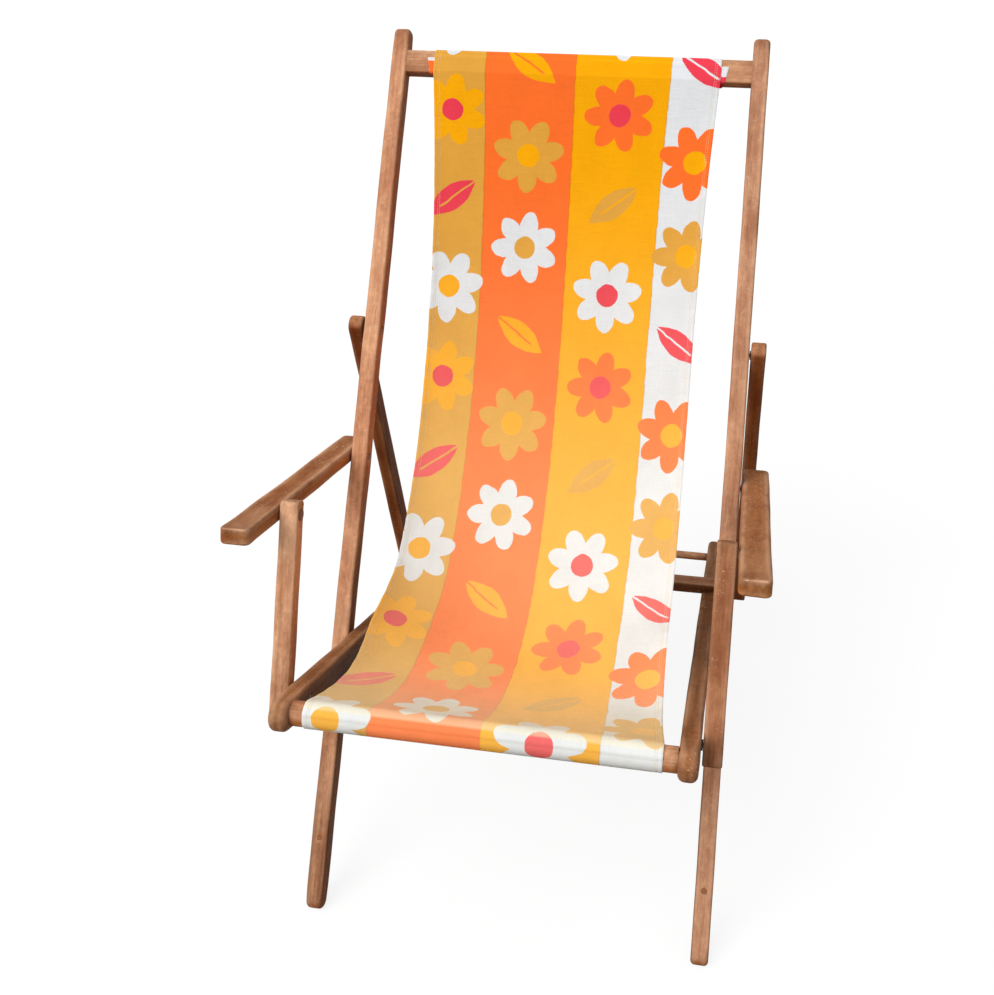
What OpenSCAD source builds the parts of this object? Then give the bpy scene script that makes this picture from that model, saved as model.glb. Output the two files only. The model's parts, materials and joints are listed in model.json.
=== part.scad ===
// Folding wooden deck chair with armrests and a hanging canvas sling.
//
// The chair is drawn open, standing on the floor (z = 0), +Z up, its front
// facing -Y and its left side (seen from the front) at -X.  Every link of the
// frame lies in a side plane, so the layout is worked out once in [y, z] and
// then set out in layers along X:
//   seat rails (inside) | main rails and arm posts | armrests and prop rails.
// Side-plane angles are in degrees from +Y towards +Z.

/* [Main frame] */
// Length of each main rail, from foot to top end
main_len = 1293; // [1150:1:1400]
// Lean of the main rails back from the vertical, degrees
main_lean = 30.5; // [26:0.1:34]
// Thickness of the main rails, across the chair
main_t = 24; // [20:0.5:28]
// Depth of the main rails, front to back
main_d = 28; // [26:0.5:32]
// Height of the top rail, measured along the main rails
top_rail_h = 35; // [28:0.5:40]
// Thickness of the top rail, front to back
top_rail_t = 25; // [18:0.5:26]
// Distance from the top end of the main rails to the middle of the top rail
top_rail_drop = 52; // [30:1:80]
// How far the top rail's front face lies behind the main rails' front face
top_rail_inset = 2; // [0.5:0.5:4]
// Length of the worn flat under each foot, front to back
foot_flat = 10; // [4:1:16]
// Distance from the foot to the peg that plugs each leg
plug_up = 100; // [60:1:160]
// Radius of the leg plugs
plug_r = 4; // [3:0.25:5]
// Depth of the leg plugs
plug_depth = 14; // [8:1:18]

/* [Seat frame] */
// Distance from the foot to the seat pivot, along the main rail
seat_pivot_up = 373; // [330:1:410]
// Length of the seat rail in front of its pivot
seat_front = 319; // [290:1:345]
// Length of the seat rail behind its pivot
seat_rear = 850; // [780:1:880]
// Thickness of the seat rails, across the chair
seat_t = 24; // [20:0.5:28]
// Depth of the seat rails, top to bottom
seat_d = 38; // [34:0.5:42]
// Gap between a seat rail and the main rail beside it
seat_gap = 3; // [2:0.25:5]
// Gap between the canvas and the seat rail on each side of it
sling_side = 17; // [12:0.5:30]
// Distance from the seat rails' front end to the front rail
front_rail_in = 25; // [22:0.5:40]
// Height of the front rail above the seat rails' centre line
front_rail_up = 2.5; // [-1:0.5:3]
// Radius of the round front rail
front_rail_r = 15; // [12:0.5:16]
// Distance from the seat rails' rear end to the round dowel
dowel_in = 84; // [50:1:110]
// Radius of the round rear dowel
dowel_r = 7.5; // [6:0.25:10]
// Distance from the pivot to the notch that holds the prop
notch_at = 421; // [400:1:440]
// Number of notches in each seat rail
notch_count = 3; // [1:1:3]
// Distance from one notch to the next
notch_step = 60; // [45:1:70]
// Clearance of the prop's crossbar in its notch
notch_play = 0.4; // [0.2:0.1:1]

/* [Prop] */
// Distance from the foot to the prop's pivot, along the main rail
prop_pivot_up = 830; // [790:1:860]
// Thickness of the prop rails, across the chair
prop_t = 21; // [18:0.5:26]
// Depth of the prop rails
prop_d = 29; // [26:0.5:34]
// Length of the prop rails past their pivot
prop_head = 20; // [18:1:30]
// Length of the prop rails past the middle of the crossbar
prop_tail = 22; // [18:1:50]
// Height of the crossbar, along the prop rails
cross_h = 26; // [20:0.5:28]
// Thickness of the crossbar
cross_t = 18; // [16:0.5:22]
// Height of the crossbar's middle over the seat rails' top edge
cross_up = 9; // [7:0.25:10]

/* [Arms] */
// Distance from the foot to the armrest's pivot, along the main rail
arm_pivot_up = 641; // [620:1:660]
// Distance from the armrest's rear pivot to its front pivot
arm_link = 273.7; // [268:0.1:280]
// Width of the armrests
arm_w = 38; // [34:0.5:50]
// Thickness of the armrests
arm_t = 21; // [18:0.5:26]
// Length of the armrest in front of its front pivot
arm_front = 99; // [80:1:120]
// Length of the armrest behind its rear pivot
arm_rear = 70; // [50:1:95]
// Gap outside the main rails, for the washers
outer_gap = 2; // [1.5:0.25:4]
// Distance from the seat pivot forward to the arm post's pivot
post_pivot_out = 233.8; // [230:0.1:240]
// Distance between the arm post's two pivots
post_link = 229.4; // [225:0.1:235]
// Depth of the arm posts, front to back
post_d = 22; // [20:0.5:24]
// Gap on each side of an arm post, for its washers
post_gap = 2.5; // [2:0.25:5]
// Length of the arm post below its lower pivot
post_foot = 23; // [18:1:30]
// Length of the arm post above its upper pivot
post_head = 17; // [12:1:20]

/* [Hardware] */
// Radius of the seat pivot bolts
seat_bolt_r = 4; // [3:0.25:5]
// Radius of the prop, arm and post bolts
bolt_r = 3; // [2.5:0.25:4]
// Depth below the wood's face of the bolts' flat heads
head_drop = 0.3; // [0.1:0.1:1]
// Clearance round a nut in its sunk hole
nut_play = 0.6; // [0.4:0.1:1.5]
// Radius of the screws that hold the posts to the armrests
screw_r = 3; // [2.5:0.25:3.5]
// Length of those screws inside the armrest
screw_bite = 24; // [12:1:30]
// Running clearance of a bolt in the wood
run = 0.06; // [0.02:0.01:0.1]
// Gap between a washer and the wood that turns past it
washer_play = 0.3; // [0.2:0.05:0.4]
// Radius of the hole in the post's upper end
slack_r = 5.3; // [5.1:0.1:5.8]
// How far that hole lies below the screw, along the post
slack_drop = 1.3; // [1.1:0.1:1.5]
// How far that hole lies behind the screw, across the post
slack_back = 1.4; // [1.2:0.1:1.6]

/* [Sling] */
// Width of the canvas where it wraps the rails
sling_w = 430; // [380:1:440]
// How much each side draws in between the rails
sling_neck = 15; // [0:1:24]
// Thickness of the canvas
sling_th = 1.2; // [0.8:0.1:1.6]
// Clearance between the canvas and what it wraps
wrap_gap = 0.3; // [0.2:0.05:0.6]
// Turn of the canvas as it leaves the top rail, degrees
sag_turn = 15.9; // [6:0.1:20]
// Reach of the sag from the top rail
sag_back = 530; // [480:1:580]
// Slope of the canvas as it rises to the front rail, degrees
sag_rise = 34.5; // [28:0.1:40]
// Reach of the sag from the front rail
sag_seat = 380; // [330:1:420]
// How much higher than its middle the canvas hangs along its edges
edge_lift = 11; // [0:1:16]
// How much more its edges rise where a sitter has stretched the seat
seat_lift = 28; // [0:1:34]

/* [Hidden] */
$fn = 64;

wood = [0.66, 0.44, 0.30];
dark_wood = [0.48, 0.30, 0.19];
steel = [0.45, 0.43, 0.41];
cloth = [0.95, 0.55, 0.20];

// Layers along X, from the canvas outwards
seat_in = sling_w / 2 + sling_side;
seat_out = seat_in + seat_t;
main_in = seat_out + seat_gap;
main_out = main_in + main_t;
arm_in = main_out + outer_gap;
arm_out = arm_in + arm_w;
prop_in = main_out + outer_gap;
prop_out = prop_in + prop_t;
post_in = seat_out + post_gap;
post_out = arm_in - post_gap;

// Side-plane layout, [y, z], with the foot's rounding centre over y = 0
function dir(a) = [cos(a), sin(a)];
main_a = 90 - main_lean;
// height of a rounded end's centre when it stands on its worn flat
function stand_h(d) = sqrt(d * d / 4 - foot_flat * foot_flat / 4);
foot_c = [0, stand_h(main_d)];
function on_main(s, fwd = 0) = foot_c + dir(main_a) * (s - main_d / 2) + dir(main_a + 90) * fwd;
seat_pivot = on_main(seat_pivot_up);
// the seat rails' rounded rear ends stand on the floor
seat_a = -asin((seat_pivot[1] - stand_h(seat_d)) / (seat_rear - seat_d / 2));
function on_seat(s, up = 0) = seat_pivot + dir(seat_a) * s + dir(seat_a + 90) * up;
prop_pivot = on_main(prop_pivot_up);
cross_c = on_seat(notch_at, seat_d / 2 + cross_up);
prop_v = cross_c - prop_pivot;
prop_link = norm(prop_v);
prop_a = atan2(prop_v[1], prop_v[0]);
arm_pivot = on_main(arm_pivot_up);
post_pivot = on_seat(-post_pivot_out);
// the post's upper pivot closes the triangle over the line from post to arm pivot
tie = arm_pivot - post_pivot;
tie_len = norm(tie);
tie_foot = (post_link * post_link - arm_link * arm_link + tie_len * tie_len) / (2 * tie_len);
tie_rise = sqrt(post_link * post_link - tie_foot * tie_foot);
tie_a = atan2(tie[1], tie[0]);
head_pivot = post_pivot + dir(tie_a) * tie_foot + dir(tie_a + 90) * tie_rise;
post_v = head_pivot - post_pivot;
post_a = atan2(post_v[1], post_v[0]);
arm_v = head_pivot - arm_pivot;
arm_a = atan2(arm_v[1], arm_v[0]);
front_c = on_seat(front_rail_in - seat_front, front_rail_up);
dowel_c = on_seat(seat_rear - dowel_in);
top_c = on_main(main_len - top_rail_drop, main_d / 2 - top_rail_inset - top_rail_t / 2);

// The frame's origin is on the floor, under the middle of the chair's length
y_front = on_seat(seat_d / 2 - seat_front)[0] - seat_d / 2;
y_rear = on_seat(seat_rear - seat_d / 2)[0] + seat_d / 2;
y_mid = (y_front + y_rear) / 2;

// Joinery
tenon_len = 15;
tenon_fit = 0.05;
front_tenon_r = front_rail_r * 0.6;
cross_tenon_r = cross_t / 3;
top_tenon_h = top_rail_h * 0.6;
top_tenon_t = top_rail_t * 0.5;
corner_r = 3;
main_top_r = main_d / 2 - 4;
arm_rear_r = arm_t / 2 - 3;
arm_front_r = arm_t / 2 - 2;
arm_plan_r = arm_w * 0.3;
post_foot_r = 4;
post_head_r = 5;

// Hardware: heads, nuts and washers in proportion to their bolt
head_k = 1.9;
nut_h = 4.5;
nut_k = 1.85;
nut_turn = 15;
thread_out = 0.8;
washer_h = 1.2;
spacer_k = 2.2;
screw_head_h = 1.5;
screw_head_k = 2.1;
screw_head_r = slack_r + 2.5;
// depth of the hole that sinks a washer, its nut and the thread's end
nut_sink = washer_h + nut_h + thread_out + head_drop;
eps = 0.01;

// Shapes that every piece is made from

// Places children at a side-plane point: their X runs along angle a, their Y
// across it, and their Z runs along the chair's X, starting at x
module at_side(p, a, x) {
    translate([x, p[0] - y_mid, p[1]]) rotate([a, 0, 0]) rotate([90, 0, 90]) children();
}

// A bar's side outline from 0 to len along X, d deep, with end corners r0 and r1
module bar_outline(len, d, r0, r1) {
    translate([r0, -d / 2]) square([len - r0 - r1, d]);
    for (e = [[r0, r0], [len - r1, r1]]) {
        for (s = [-1, 1]) translate([e[0], s * (d / 2 - e[1])]) circle(r = e[1]);
    }
    if (r0 < d / 2) translate([0, r0 - d / 2]) square([r0 + eps, d - 2 * r0]);
    if (r1 < d / 2) translate([len - r1 - eps, r1 - d / 2]) square([r1 + eps, d - 2 * r1]);
}

// A bar from tail behind point p to head beyond it, x0 to x1 across the chair
module bar(p, a, tail, head, d, x0, x1, r0, r1) {
    at_side(p - dir(a) * tail, a, x0) linear_extrude(x1 - x0) bar_outline(tail + head, d, r0, r1);
}

// A round pin along X, from x0 to x1
module pin(p, x0, x1, r) {
    at_side(p, 0, min(x0, x1)) cylinder(r = r, h = abs(x1 - x0));
}

// A flat ring along X, from x0 to x1
module ring(p, x0, x1, r_in, r_out) {
    at_side(p, 0, min(x0, x1)) difference() {
        cylinder(r = r_out, h = abs(x1 - x0));
        translate([0, 0, -1]) cylinder(r = r_in, h = abs(x1 - x0) + 2);
    }
}

// Depth of a flat head: its cone spreads as much as it is deep
function head_h(r) = (head_k - 1) * r;

// A flat-headed bolt from x_in, its head sunk into the outer face x_out
module bolt(p, x_in, x_out, r) {
    pin(p, x_in, x_out - head_drop - head_h(r), r);
    at_side(p, 0, x_out - head_drop - head_h(r)) cylinder(r1 = r, r2 = head_k * r, h = head_h(r));
}

// What a bolt takes out of the wood: its shank's hole, and the cone for its head
module bolt_hole(p, x_in, x_out, r) {
    pin(p, x_in - 1, x_out + 1, r + run);
}
module head_hole(p, x_out, r) {
    grow = 2 * run;
    at_side(p, 0, x_out - head_drop - head_h(r)) cylinder(r1 = r + grow, r2 = head_k * r + grow, h = head_h(r));
    pin(p, x_out - head_drop - eps, x_out + 1, head_k * r + grow);
}

// The hole in an inner face that sinks a washer and a nut
module nut_hole(p, x_in, r) {
    pin(p, x_in - 1, x_in + nut_sink, nut_k * r + nut_play);
}

// A hexagon nut whose outer face lies at x
module nut(p, x, r) {
    at_side(p, nut_turn, x - nut_h) difference() {
        cylinder(r = nut_k * r, h = nut_h, $fn = 6);
        translate([0, 0, -1]) cylinder(r = r + tenon_fit, h = nut_h + 2);
    }
}

// What lies below the floor around y, x0 to x1 across the chair
module below_floor(y, x0, x1, d) {
    translate([x0 - 1, y - y_mid - d, -d]) cube([x1 - x0 + 2, 2 * d, d]);
}

// Left and right copies: the right side is drawn, the left one is its mirror
module both() { children(); mirror([1, 0, 0]) children(); }
module left() { mirror([1, 0, 0]) children(); }

// The main frame: two long rails, the top rail and the leg plugs

module main_rail() {
    color(wood) difference() {
        bar(foot_c, main_a, main_d / 2, main_len - main_d / 2, main_d, main_in, main_out,
            main_d / 2, main_top_r);
        bolt_hole(seat_pivot, main_in, main_out, seat_bolt_r);
        head_hole(seat_pivot, main_out, seat_bolt_r);
        for (p = [prop_pivot, arm_pivot]) {
            bolt_hole(p, main_in, main_out, bolt_r);
            nut_hole(p, main_in, bolt_r);
        }
        at_side(top_c, main_a, main_in - 1)
            translate([-top_tenon_h / 2, -top_tenon_t / 2, 0])
                cube([top_tenon_h, top_tenon_t, tenon_len + 1]);
        leg_plug_shape(plug_r + tenon_fit, 1);
        below_floor(foot_c[0], main_in, main_out, main_d);
    }
}

module top_rail() {
    color(wood) union() {
        at_side(top_c, main_a, -main_in) linear_extrude(2 * main_in)
            translate([-top_rail_h / 2, 0]) bar_outline(top_rail_h, top_rail_t, corner_r, corner_r);
        at_side(top_c, main_a, -main_in - tenon_len)
            translate([-top_tenon_h / 2, -top_tenon_t / 2, 0])
                cube([top_tenon_h, top_tenon_t, 2 * (main_in + tenon_len)]);
    }
}

// A plug let into the front face of a leg, proud of it by "over"
module leg_plug_shape(r, over) {
    at_side(on_main(plug_up, main_d / 2 - plug_depth), main_a, (main_in + main_out) / 2)
        rotate([-90, 0, 0]) cylinder(r = r, h = plug_depth + over);
}

module leg_plugs() {
    color(dark_wood) both() leg_plug_shape(plug_r, 0);
}

// The seat frame: two seat rails, the front rail and the rear dowel

// Section of the prop's crossbar, grown by g, about its middle
module cross_outline(g) {
    translate([-cross_h / 2 - g, -cross_t / 2 - g]) square([cross_h + 2 * g, cross_t + 2 * g]);
}

module seat_rail() {
    color(wood) difference() {
        bar(seat_pivot, seat_a, seat_front, seat_rear, seat_d, seat_in, seat_out, seat_d / 2, seat_d / 2);
        bolt_hole(seat_pivot, seat_in, seat_out, seat_bolt_r);
        nut_hole(seat_pivot, seat_in, seat_bolt_r);
        bolt_hole(post_pivot, seat_in, seat_out, bolt_r);
        nut_hole(post_pivot, seat_in, bolt_r);
        pin(front_c, seat_in - 1, seat_in + tenon_len, front_tenon_r + tenon_fit);
        pin(dowel_c, seat_in - 1, seat_in + tenon_len, dowel_r + tenon_fit);
        for (i = [0 : notch_count - 1])
            at_side(on_seat(notch_at - i * notch_step, seat_d / 2 + cross_up), prop_a, seat_in - 1)
                linear_extrude(seat_t + 2) cross_outline(notch_play);
        below_floor(on_seat(seat_rear - seat_d / 2)[0], seat_in, seat_out, seat_d);
    }
}

module front_rail() {
    color(wood) {
        pin(front_c, -seat_in, seat_in, front_rail_r);
        pin(front_c, -seat_in - tenon_len, seat_in + tenon_len, front_tenon_r);
    }
}

module rear_dowel() {
    color(wood) pin(dowel_c, -seat_in - tenon_len, seat_in + tenon_len, dowel_r);
}

// The prop: two rails and the crossbar that drops into the notches

module prop_rail() {
    color(dark_wood) difference() {
        bar(prop_pivot, prop_a, prop_head, prop_link + prop_tail, prop_d, prop_in, prop_out,
            prop_d / 2, prop_d / 2);
        bolt_hole(prop_pivot, prop_in, prop_out, bolt_r);
        head_hole(prop_pivot, prop_out, bolt_r);
        pin(cross_c, prop_in - 1, prop_in + tenon_len, cross_tenon_r + tenon_fit);
    }
}

module prop_crossbar() {
    color(dark_wood) {
        at_side(cross_c, prop_a, -prop_in) linear_extrude(2 * prop_in) cross_outline(0);
        pin(cross_c, -prop_in - tenon_len, prop_in + tenon_len, cross_tenon_r);
    }
}

// The armrests and the posts that carry their front ends

module armrest() {
    color(wood) difference() {
        intersection() {
            bar(arm_pivot, arm_a, arm_rear, arm_link + arm_front, arm_t, arm_in, arm_out,
                arm_rear_r, arm_front_r);
            // the plan of the armrest, rounded at both ends
            translate([0, arm_pivot[0] - y_mid, arm_pivot[1]]) rotate([arm_a, 0, 0])
                translate([0, 0, -arm_t]) linear_extrude(2 * arm_t) arm_plan();
        }
        bolt_hole(arm_pivot, arm_in, arm_out, bolt_r);
        head_hole(arm_pivot, arm_out, bolt_r);
        pin(head_pivot, arm_in - 1, arm_in + screw_bite, screw_r + run);
    }
}

// Plan seen from above the armrest: X across the chair, Y along the armrest
module arm_plan() {
    r = arm_plan_r;
    for (y = [-arm_rear + r, arm_link + arm_front - r], x = [arm_in + r, arm_out - r])
        translate([x, y]) circle(r = r);
    translate([arm_in, -arm_rear + r]) square([arm_w, arm_rear + arm_link + arm_front - 2 * r]);
    translate([arm_in + r, -arm_rear]) square([arm_w - 2 * r, arm_rear + arm_link + arm_front]);
}

module arm_post() {
    color(wood) difference() {
        bar(post_pivot, post_a, post_foot, post_link + post_head, post_d, post_in, post_out,
            post_foot_r, post_head_r);
        bolt_hole(post_pivot, post_in, post_out, bolt_r);
        head_hole(post_pivot, post_out, bolt_r);
        // the upper hole is slack, and a little below and behind the screw
        pin(head_pivot - dir(post_a) * slack_drop + dir(post_a - 90) * slack_back,
            post_in - 1, post_out + 1, slack_r);
    }
}

// The bolts, washers, nuts and screws

// The floor of a nut's hole, sunk into the inner face x_in, and the bolt's end
function nut_floor(x_in) = x_in + nut_sink;
function bolt_end(x_in) = x_in + head_drop;

// The loose spacer washer in a pivot's gap, and the washer under its nut
module pivot_washers(p, gap_in, gap_out, x_in, r) {
    ring(p, gap_in + washer_play, gap_out - washer_play, r + tenon_fit, spacer_k * r);
    ring(p, nut_floor(x_in) - washer_h, nut_floor(x_in), r + tenon_fit, nut_k * r);
}

module seat_pivot_bolts() {
    color(steel) both() bolt(seat_pivot, bolt_end(seat_in), main_out, seat_bolt_r);
}
module seat_pivot_washers() {
    color(steel) both() pivot_washers(seat_pivot, seat_out, main_in, seat_in, seat_bolt_r);
}
module seat_pivot_nuts() {
    color(steel) both() nut(seat_pivot, nut_floor(seat_in) - washer_h, seat_bolt_r);
}
module prop_pivot_bolts() {
    color(steel) both() bolt(prop_pivot, bolt_end(main_in), prop_out, bolt_r);
}
module prop_pivot_washers() {
    color(steel) both() pivot_washers(prop_pivot, main_out, prop_in, main_in, bolt_r);
}
module prop_pivot_nuts() {
    color(steel) both() nut(prop_pivot, nut_floor(main_in) - washer_h, bolt_r);
}
module arm_pivot_bolts() {
    color(steel) both() bolt(arm_pivot, bolt_end(main_in), arm_out, bolt_r);
}
module arm_pivot_washers() {
    color(steel) both() pivot_washers(arm_pivot, main_out, arm_in, main_in, bolt_r);
}
module arm_pivot_nuts() {
    color(steel) both() nut(arm_pivot, nut_floor(main_in) - washer_h, bolt_r);
}
module post_pivot_bolts() {
    color(steel) both() bolt(post_pivot, bolt_end(seat_in), post_out, bolt_r);
}
module post_pivot_washers() {
    color(steel) both() pivot_washers(post_pivot, seat_out, post_in, seat_in, bolt_r);
}
module post_pivot_nuts() {
    color(steel) both() nut(post_pivot, nut_floor(seat_in) - washer_h, bolt_r);
}
// A screw through the post's slack hole into the armrest's side, with a wide
// low head inside the post and a washer between post and armrest
module arm_screw() {
    color(steel) {
        pin(head_pivot, post_in - washer_play, arm_in + screw_bite - 1, screw_r);
        at_side(head_pivot, 0, post_in - washer_play - screw_head_h)
            cylinder(r1 = screw_head_k * screw_r, r2 = screw_head_r, h = screw_head_h);
        pin(head_pivot, post_out + washer_play, arm_in, screw_head_r);
    }
}

// The canvas sling

// Distance of the canvas's middle layer from what it wraps: first and second turn
lay1 = wrap_gap + sling_th / 2;
lay2 = lay1 + sling_th + wrap_gap;

// One rounded corner of the top rail, at signs [su, sn] of its own axes, wrapped
// from angle a0 through turn degrees at distance g
function corner(su, sn, a0, turn, g, n) =
    let (c = top_c + dir(main_a) * su * (top_rail_h / 2 - corner_r)
                   + dir(main_a + 90) * sn * (top_rail_t / 2 - corner_r))
    [for (i = [0 : n]) c + dir(main_a + a0 + turn * i / n) * (corner_r + g)];

// The canvas starts part way down the front face, goes once round the rail and
// leaves from the front face's lower edge
function top_wrap() = concat(
    [top_c + dir(main_a) * top_rail_h / 6 + dir(main_a + 90) * (top_rail_t / 2 + lay1)],
    corner(-1, 1, 90, 90, lay1, 3),
    corner(-1, -1, 180, 90, lay1, 3),
    corner(1, -1, 270, 90, (lay1 + lay2) / 2, 3),
    corner(1, 1, 0, 90, lay2, 3),
    corner(-1, 1, 90, sag_turn, lay2, 1));

rise_a = 180 - sag_rise;
sag_p0 = top_wrap()[len(top_wrap()) - 1];
sag_p1 = sag_p0 + dir(main_a + 180 + sag_turn) * sag_back;
sag_p3 = front_c + dir(rise_a - 90) * (front_rail_r + lay2);
sag_p2 = sag_p3 - dir(rise_a) * sag_seat;
sag_n = 28;
function sag(t) = pow(1 - t, 3) * sag_p0 + 3 * pow(1 - t, 2) * t * sag_p1
                + 3 * (1 - t) * t * t * sag_p2 + pow(t, 3) * sag_p3;

// Round the front rail: the outer turn, then tucked under itself
front_turn = 440;
front_n = 22;
// the outer turn comes down onto the rail between these turns
tuck_from = 250;
tuck_to = 350;
function tuck(w) = lay2 + (lay1 - lay2) * max(0, min(1, (w - tuck_from) / (tuck_to - tuck_from)));
function front_wrap() = [for (i = [1 : front_n])
    let (w = front_turn * i / front_n)
    front_c + dir(rise_a - 90 + w) * (front_rail_r + tuck(w))];

sling_path = concat(top_wrap(), [for (i = [1 : sag_n]) sag(i / sag_n)], front_wrap());
sling_n = len(sling_path);
top_n = len(top_wrap());
// 0 on the rails, 0 to 1 along the free sag
function free(i) = max(0, min(1, (i - top_n + 1) / sag_n));
function slack(i) = 1 - pow(2 * free(i) - 1, 4);
function half_w(i) = sling_w / 2 - sling_neck * slack(i);
function unit(v) = v / norm(v);
function run_dir(i) = unit(sling_path[min(i + 1, sling_n - 1)] - sling_path[max(i - 1, 0)]);
function front_of(i) = [run_dir(i)[1], -run_dir(i)[0]];
cols = [-1, -0.8, -0.6, -0.35, 0, 0.35, 0.6, 0.8, 1];
nc = len(cols);

// The middle sags below the edges, most where the seat is stretched
seat_spot = 0.76;
seat_spread = 0.09;
function lift(i) = slack(i) * (edge_lift + seat_lift * exp(-pow((free(i) - seat_spot) / seat_spread, 2)));

function sling_pt(i, j, side) =
    let (p = sling_path[i] + front_of(i) * (side * sling_th / 2 + lift(i) * cols[j] * cols[j]))
    [half_w(i) * cols[j], p[0] - y_mid, p[1]];

module sling() {
    pts = [for (b = [1, -1], i = [0 : sling_n - 1], j = [0 : nc - 1]) sling_pt(i, j, b)];
    m = sling_n * nc;
    i_end = sling_n - 1;
    j_end = nc - 1;
    function id(i, j, b) = i * nc + j + b * m;
    function quad(a, b, c, d) = [[a, b, c], [a, c, d]];
    // front and back faces, then the two hems, then the top and front ends
    front = [for (i = [0 : i_end - 1], j = [0 : j_end - 1],
        f = quad(id(i, j, 0), id(i + 1, j, 0), id(i + 1, j + 1, 0), id(i, j + 1, 0))) f];
    back = [for (i = [0 : i_end - 1], j = [0 : j_end - 1],
        f = quad(id(i, j, 1), id(i, j + 1, 1), id(i + 1, j + 1, 1), id(i + 1, j, 1))) f];
    hems = [for (i = [0 : i_end - 1], f = concat(
        quad(id(i, 0, 0), id(i, 0, 1), id(i + 1, 0, 1), id(i + 1, 0, 0)),
        quad(id(i, j_end, 0), id(i + 1, j_end, 0), id(i + 1, j_end, 1), id(i, j_end, 1)))) f];
    ends = [for (j = [0 : j_end - 1], f = concat(
        quad(id(0, j, 0), id(0, j + 1, 0), id(0, j + 1, 1), id(0, j, 1)),
        quad(id(i_end, j, 0), id(i_end, j, 1), id(i_end, j + 1, 1), id(i_end, j + 1, 0)))) f];
    color(cloth) polyhedron(pts, concat(front, back, hems, ends));
}

// What is drawn for each node

left() main_rail();  // main_rail_left
main_rail();  // main_rail_right
top_rail();
leg_plugs();
left() seat_rail();  // seat_rail_left
seat_rail();  // seat_rail_right
front_rail();
rear_dowel();
left() prop_rail();  // prop_rail_left
prop_rail();  // prop_rail_right
prop_crossbar();
left() armrest();  // armrest_left
armrest();  // armrest_right
left() arm_post();  // arm_post_left
arm_post();  // arm_post_right
sling();
seat_pivot_bolts();
seat_pivot_washers();
seat_pivot_nuts();
prop_pivot_bolts();
prop_pivot_washers();
prop_pivot_nuts();
arm_pivot_bolts();
arm_pivot_washers();
arm_pivot_nuts();
post_pivot_bolts();
post_pivot_washers();
post_pivot_nuts();
left() arm_screw();  // arm_screw_left
arm_screw();  // arm_screw_right
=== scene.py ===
import json
import math

import bmesh
import bpy
import numpy as np
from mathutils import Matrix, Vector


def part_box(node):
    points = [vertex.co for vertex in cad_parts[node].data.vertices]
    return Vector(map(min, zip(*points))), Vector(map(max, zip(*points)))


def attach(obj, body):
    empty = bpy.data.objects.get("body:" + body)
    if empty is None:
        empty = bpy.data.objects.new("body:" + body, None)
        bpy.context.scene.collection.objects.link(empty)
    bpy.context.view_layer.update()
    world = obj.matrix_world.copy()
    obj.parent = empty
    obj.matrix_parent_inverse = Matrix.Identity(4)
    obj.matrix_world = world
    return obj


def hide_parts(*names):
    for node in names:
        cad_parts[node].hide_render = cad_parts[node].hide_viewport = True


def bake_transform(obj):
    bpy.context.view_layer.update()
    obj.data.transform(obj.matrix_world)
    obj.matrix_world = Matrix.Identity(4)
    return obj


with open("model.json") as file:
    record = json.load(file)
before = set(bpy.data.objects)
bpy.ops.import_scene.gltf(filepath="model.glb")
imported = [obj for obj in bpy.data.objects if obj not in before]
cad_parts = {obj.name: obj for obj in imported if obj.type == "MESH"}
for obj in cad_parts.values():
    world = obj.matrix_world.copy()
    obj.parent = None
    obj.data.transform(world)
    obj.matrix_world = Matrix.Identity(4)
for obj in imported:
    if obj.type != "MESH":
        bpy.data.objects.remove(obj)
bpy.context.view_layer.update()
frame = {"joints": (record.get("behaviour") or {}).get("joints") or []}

scene = bpy.context.scene
scene.view_settings.view_transform = "Standard"

# The camera
# Someone standing in front of the chair, a little to its right, looks down on it through a normal
# lens. The lens axis meets the picture above and to the right of its middle.
picture_height = 995
focal_px = 1201.0
axis_px = (55.0, 160.0)
camera_data = bpy.data.cameras.new("front_camera")
camera_data.sensor_width = 36.0
camera_data.lens = focal_px * camera_data.sensor_width / picture_height
camera_data.shift_x = -axis_px[0] / picture_height
camera_data.shift_y = -axis_px[1] / picture_height
camera = bpy.data.objects.new("front_camera", camera_data)
camera.location = (0.2711, -1.5869, 1.4375)
camera.rotation_euler = (math.radians(65.861), math.radians(0.102), math.radians(9.795))
scene.collection.objects.link(camera)
scene.camera = camera


# The floor and the light
# A white sheet of floor that the camera sees pale and the wood sees darker, as lawn or boards would be,
# under a bright cloudy sky that is whitest high up in front on the left, where the sun stands behind cloud.
def empty_tree(owner):
    """The node tree of a material or a world, switched on and cleared."""
    owner.use_nodes = True
    owner.node_tree.nodes.clear()
    return owner.node_tree


def add_node(tree, kind, inputs=None, **settings):
    """Adds one shader node. settings are its properties, and inputs gives each socket, by name or number,
    a plain value or the output that feeds it."""
    made = tree.nodes.new("ShaderNode" + kind)
    for name, value in settings.items():
        setattr(made, name, value)
    for key, value in (inputs or {}).items():
        if isinstance(value, bpy.types.NodeSocket):
            tree.links.new(value, made.inputs[key])
        else:
            made.inputs[key].default_value = value
    return made


def calc(tree, operation, *values):
    """The output of one Math node on up to three values or sockets."""
    return add_node(tree, "Math", dict(enumerate(values)), operation=operation).outputs[0]


def fade(tree, value, low, high, bottom=0.0, top=1.0):
    """A smooth step from bottom to top as the value goes from low to high."""
    made = add_node(tree, "MapRange", {"Value": value, "From Min": low, "From Max": high,
                                       "To Min": bottom, "To Max": top}, interpolation_type="SMOOTHSTEP")
    return made.outputs[0]


def seen_rays(tree):
    """1 for rays that come straight from the camera, off a gloss or through a glass, else 0."""
    path = add_node(tree, "LightPath").outputs
    either = calc(tree, "MAXIMUM", path["Is Camera Ray"], path["Is Glossy Ray"])
    return calc(tree, "MAXIMUM", either, path["Is Transmission Ray"])


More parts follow.
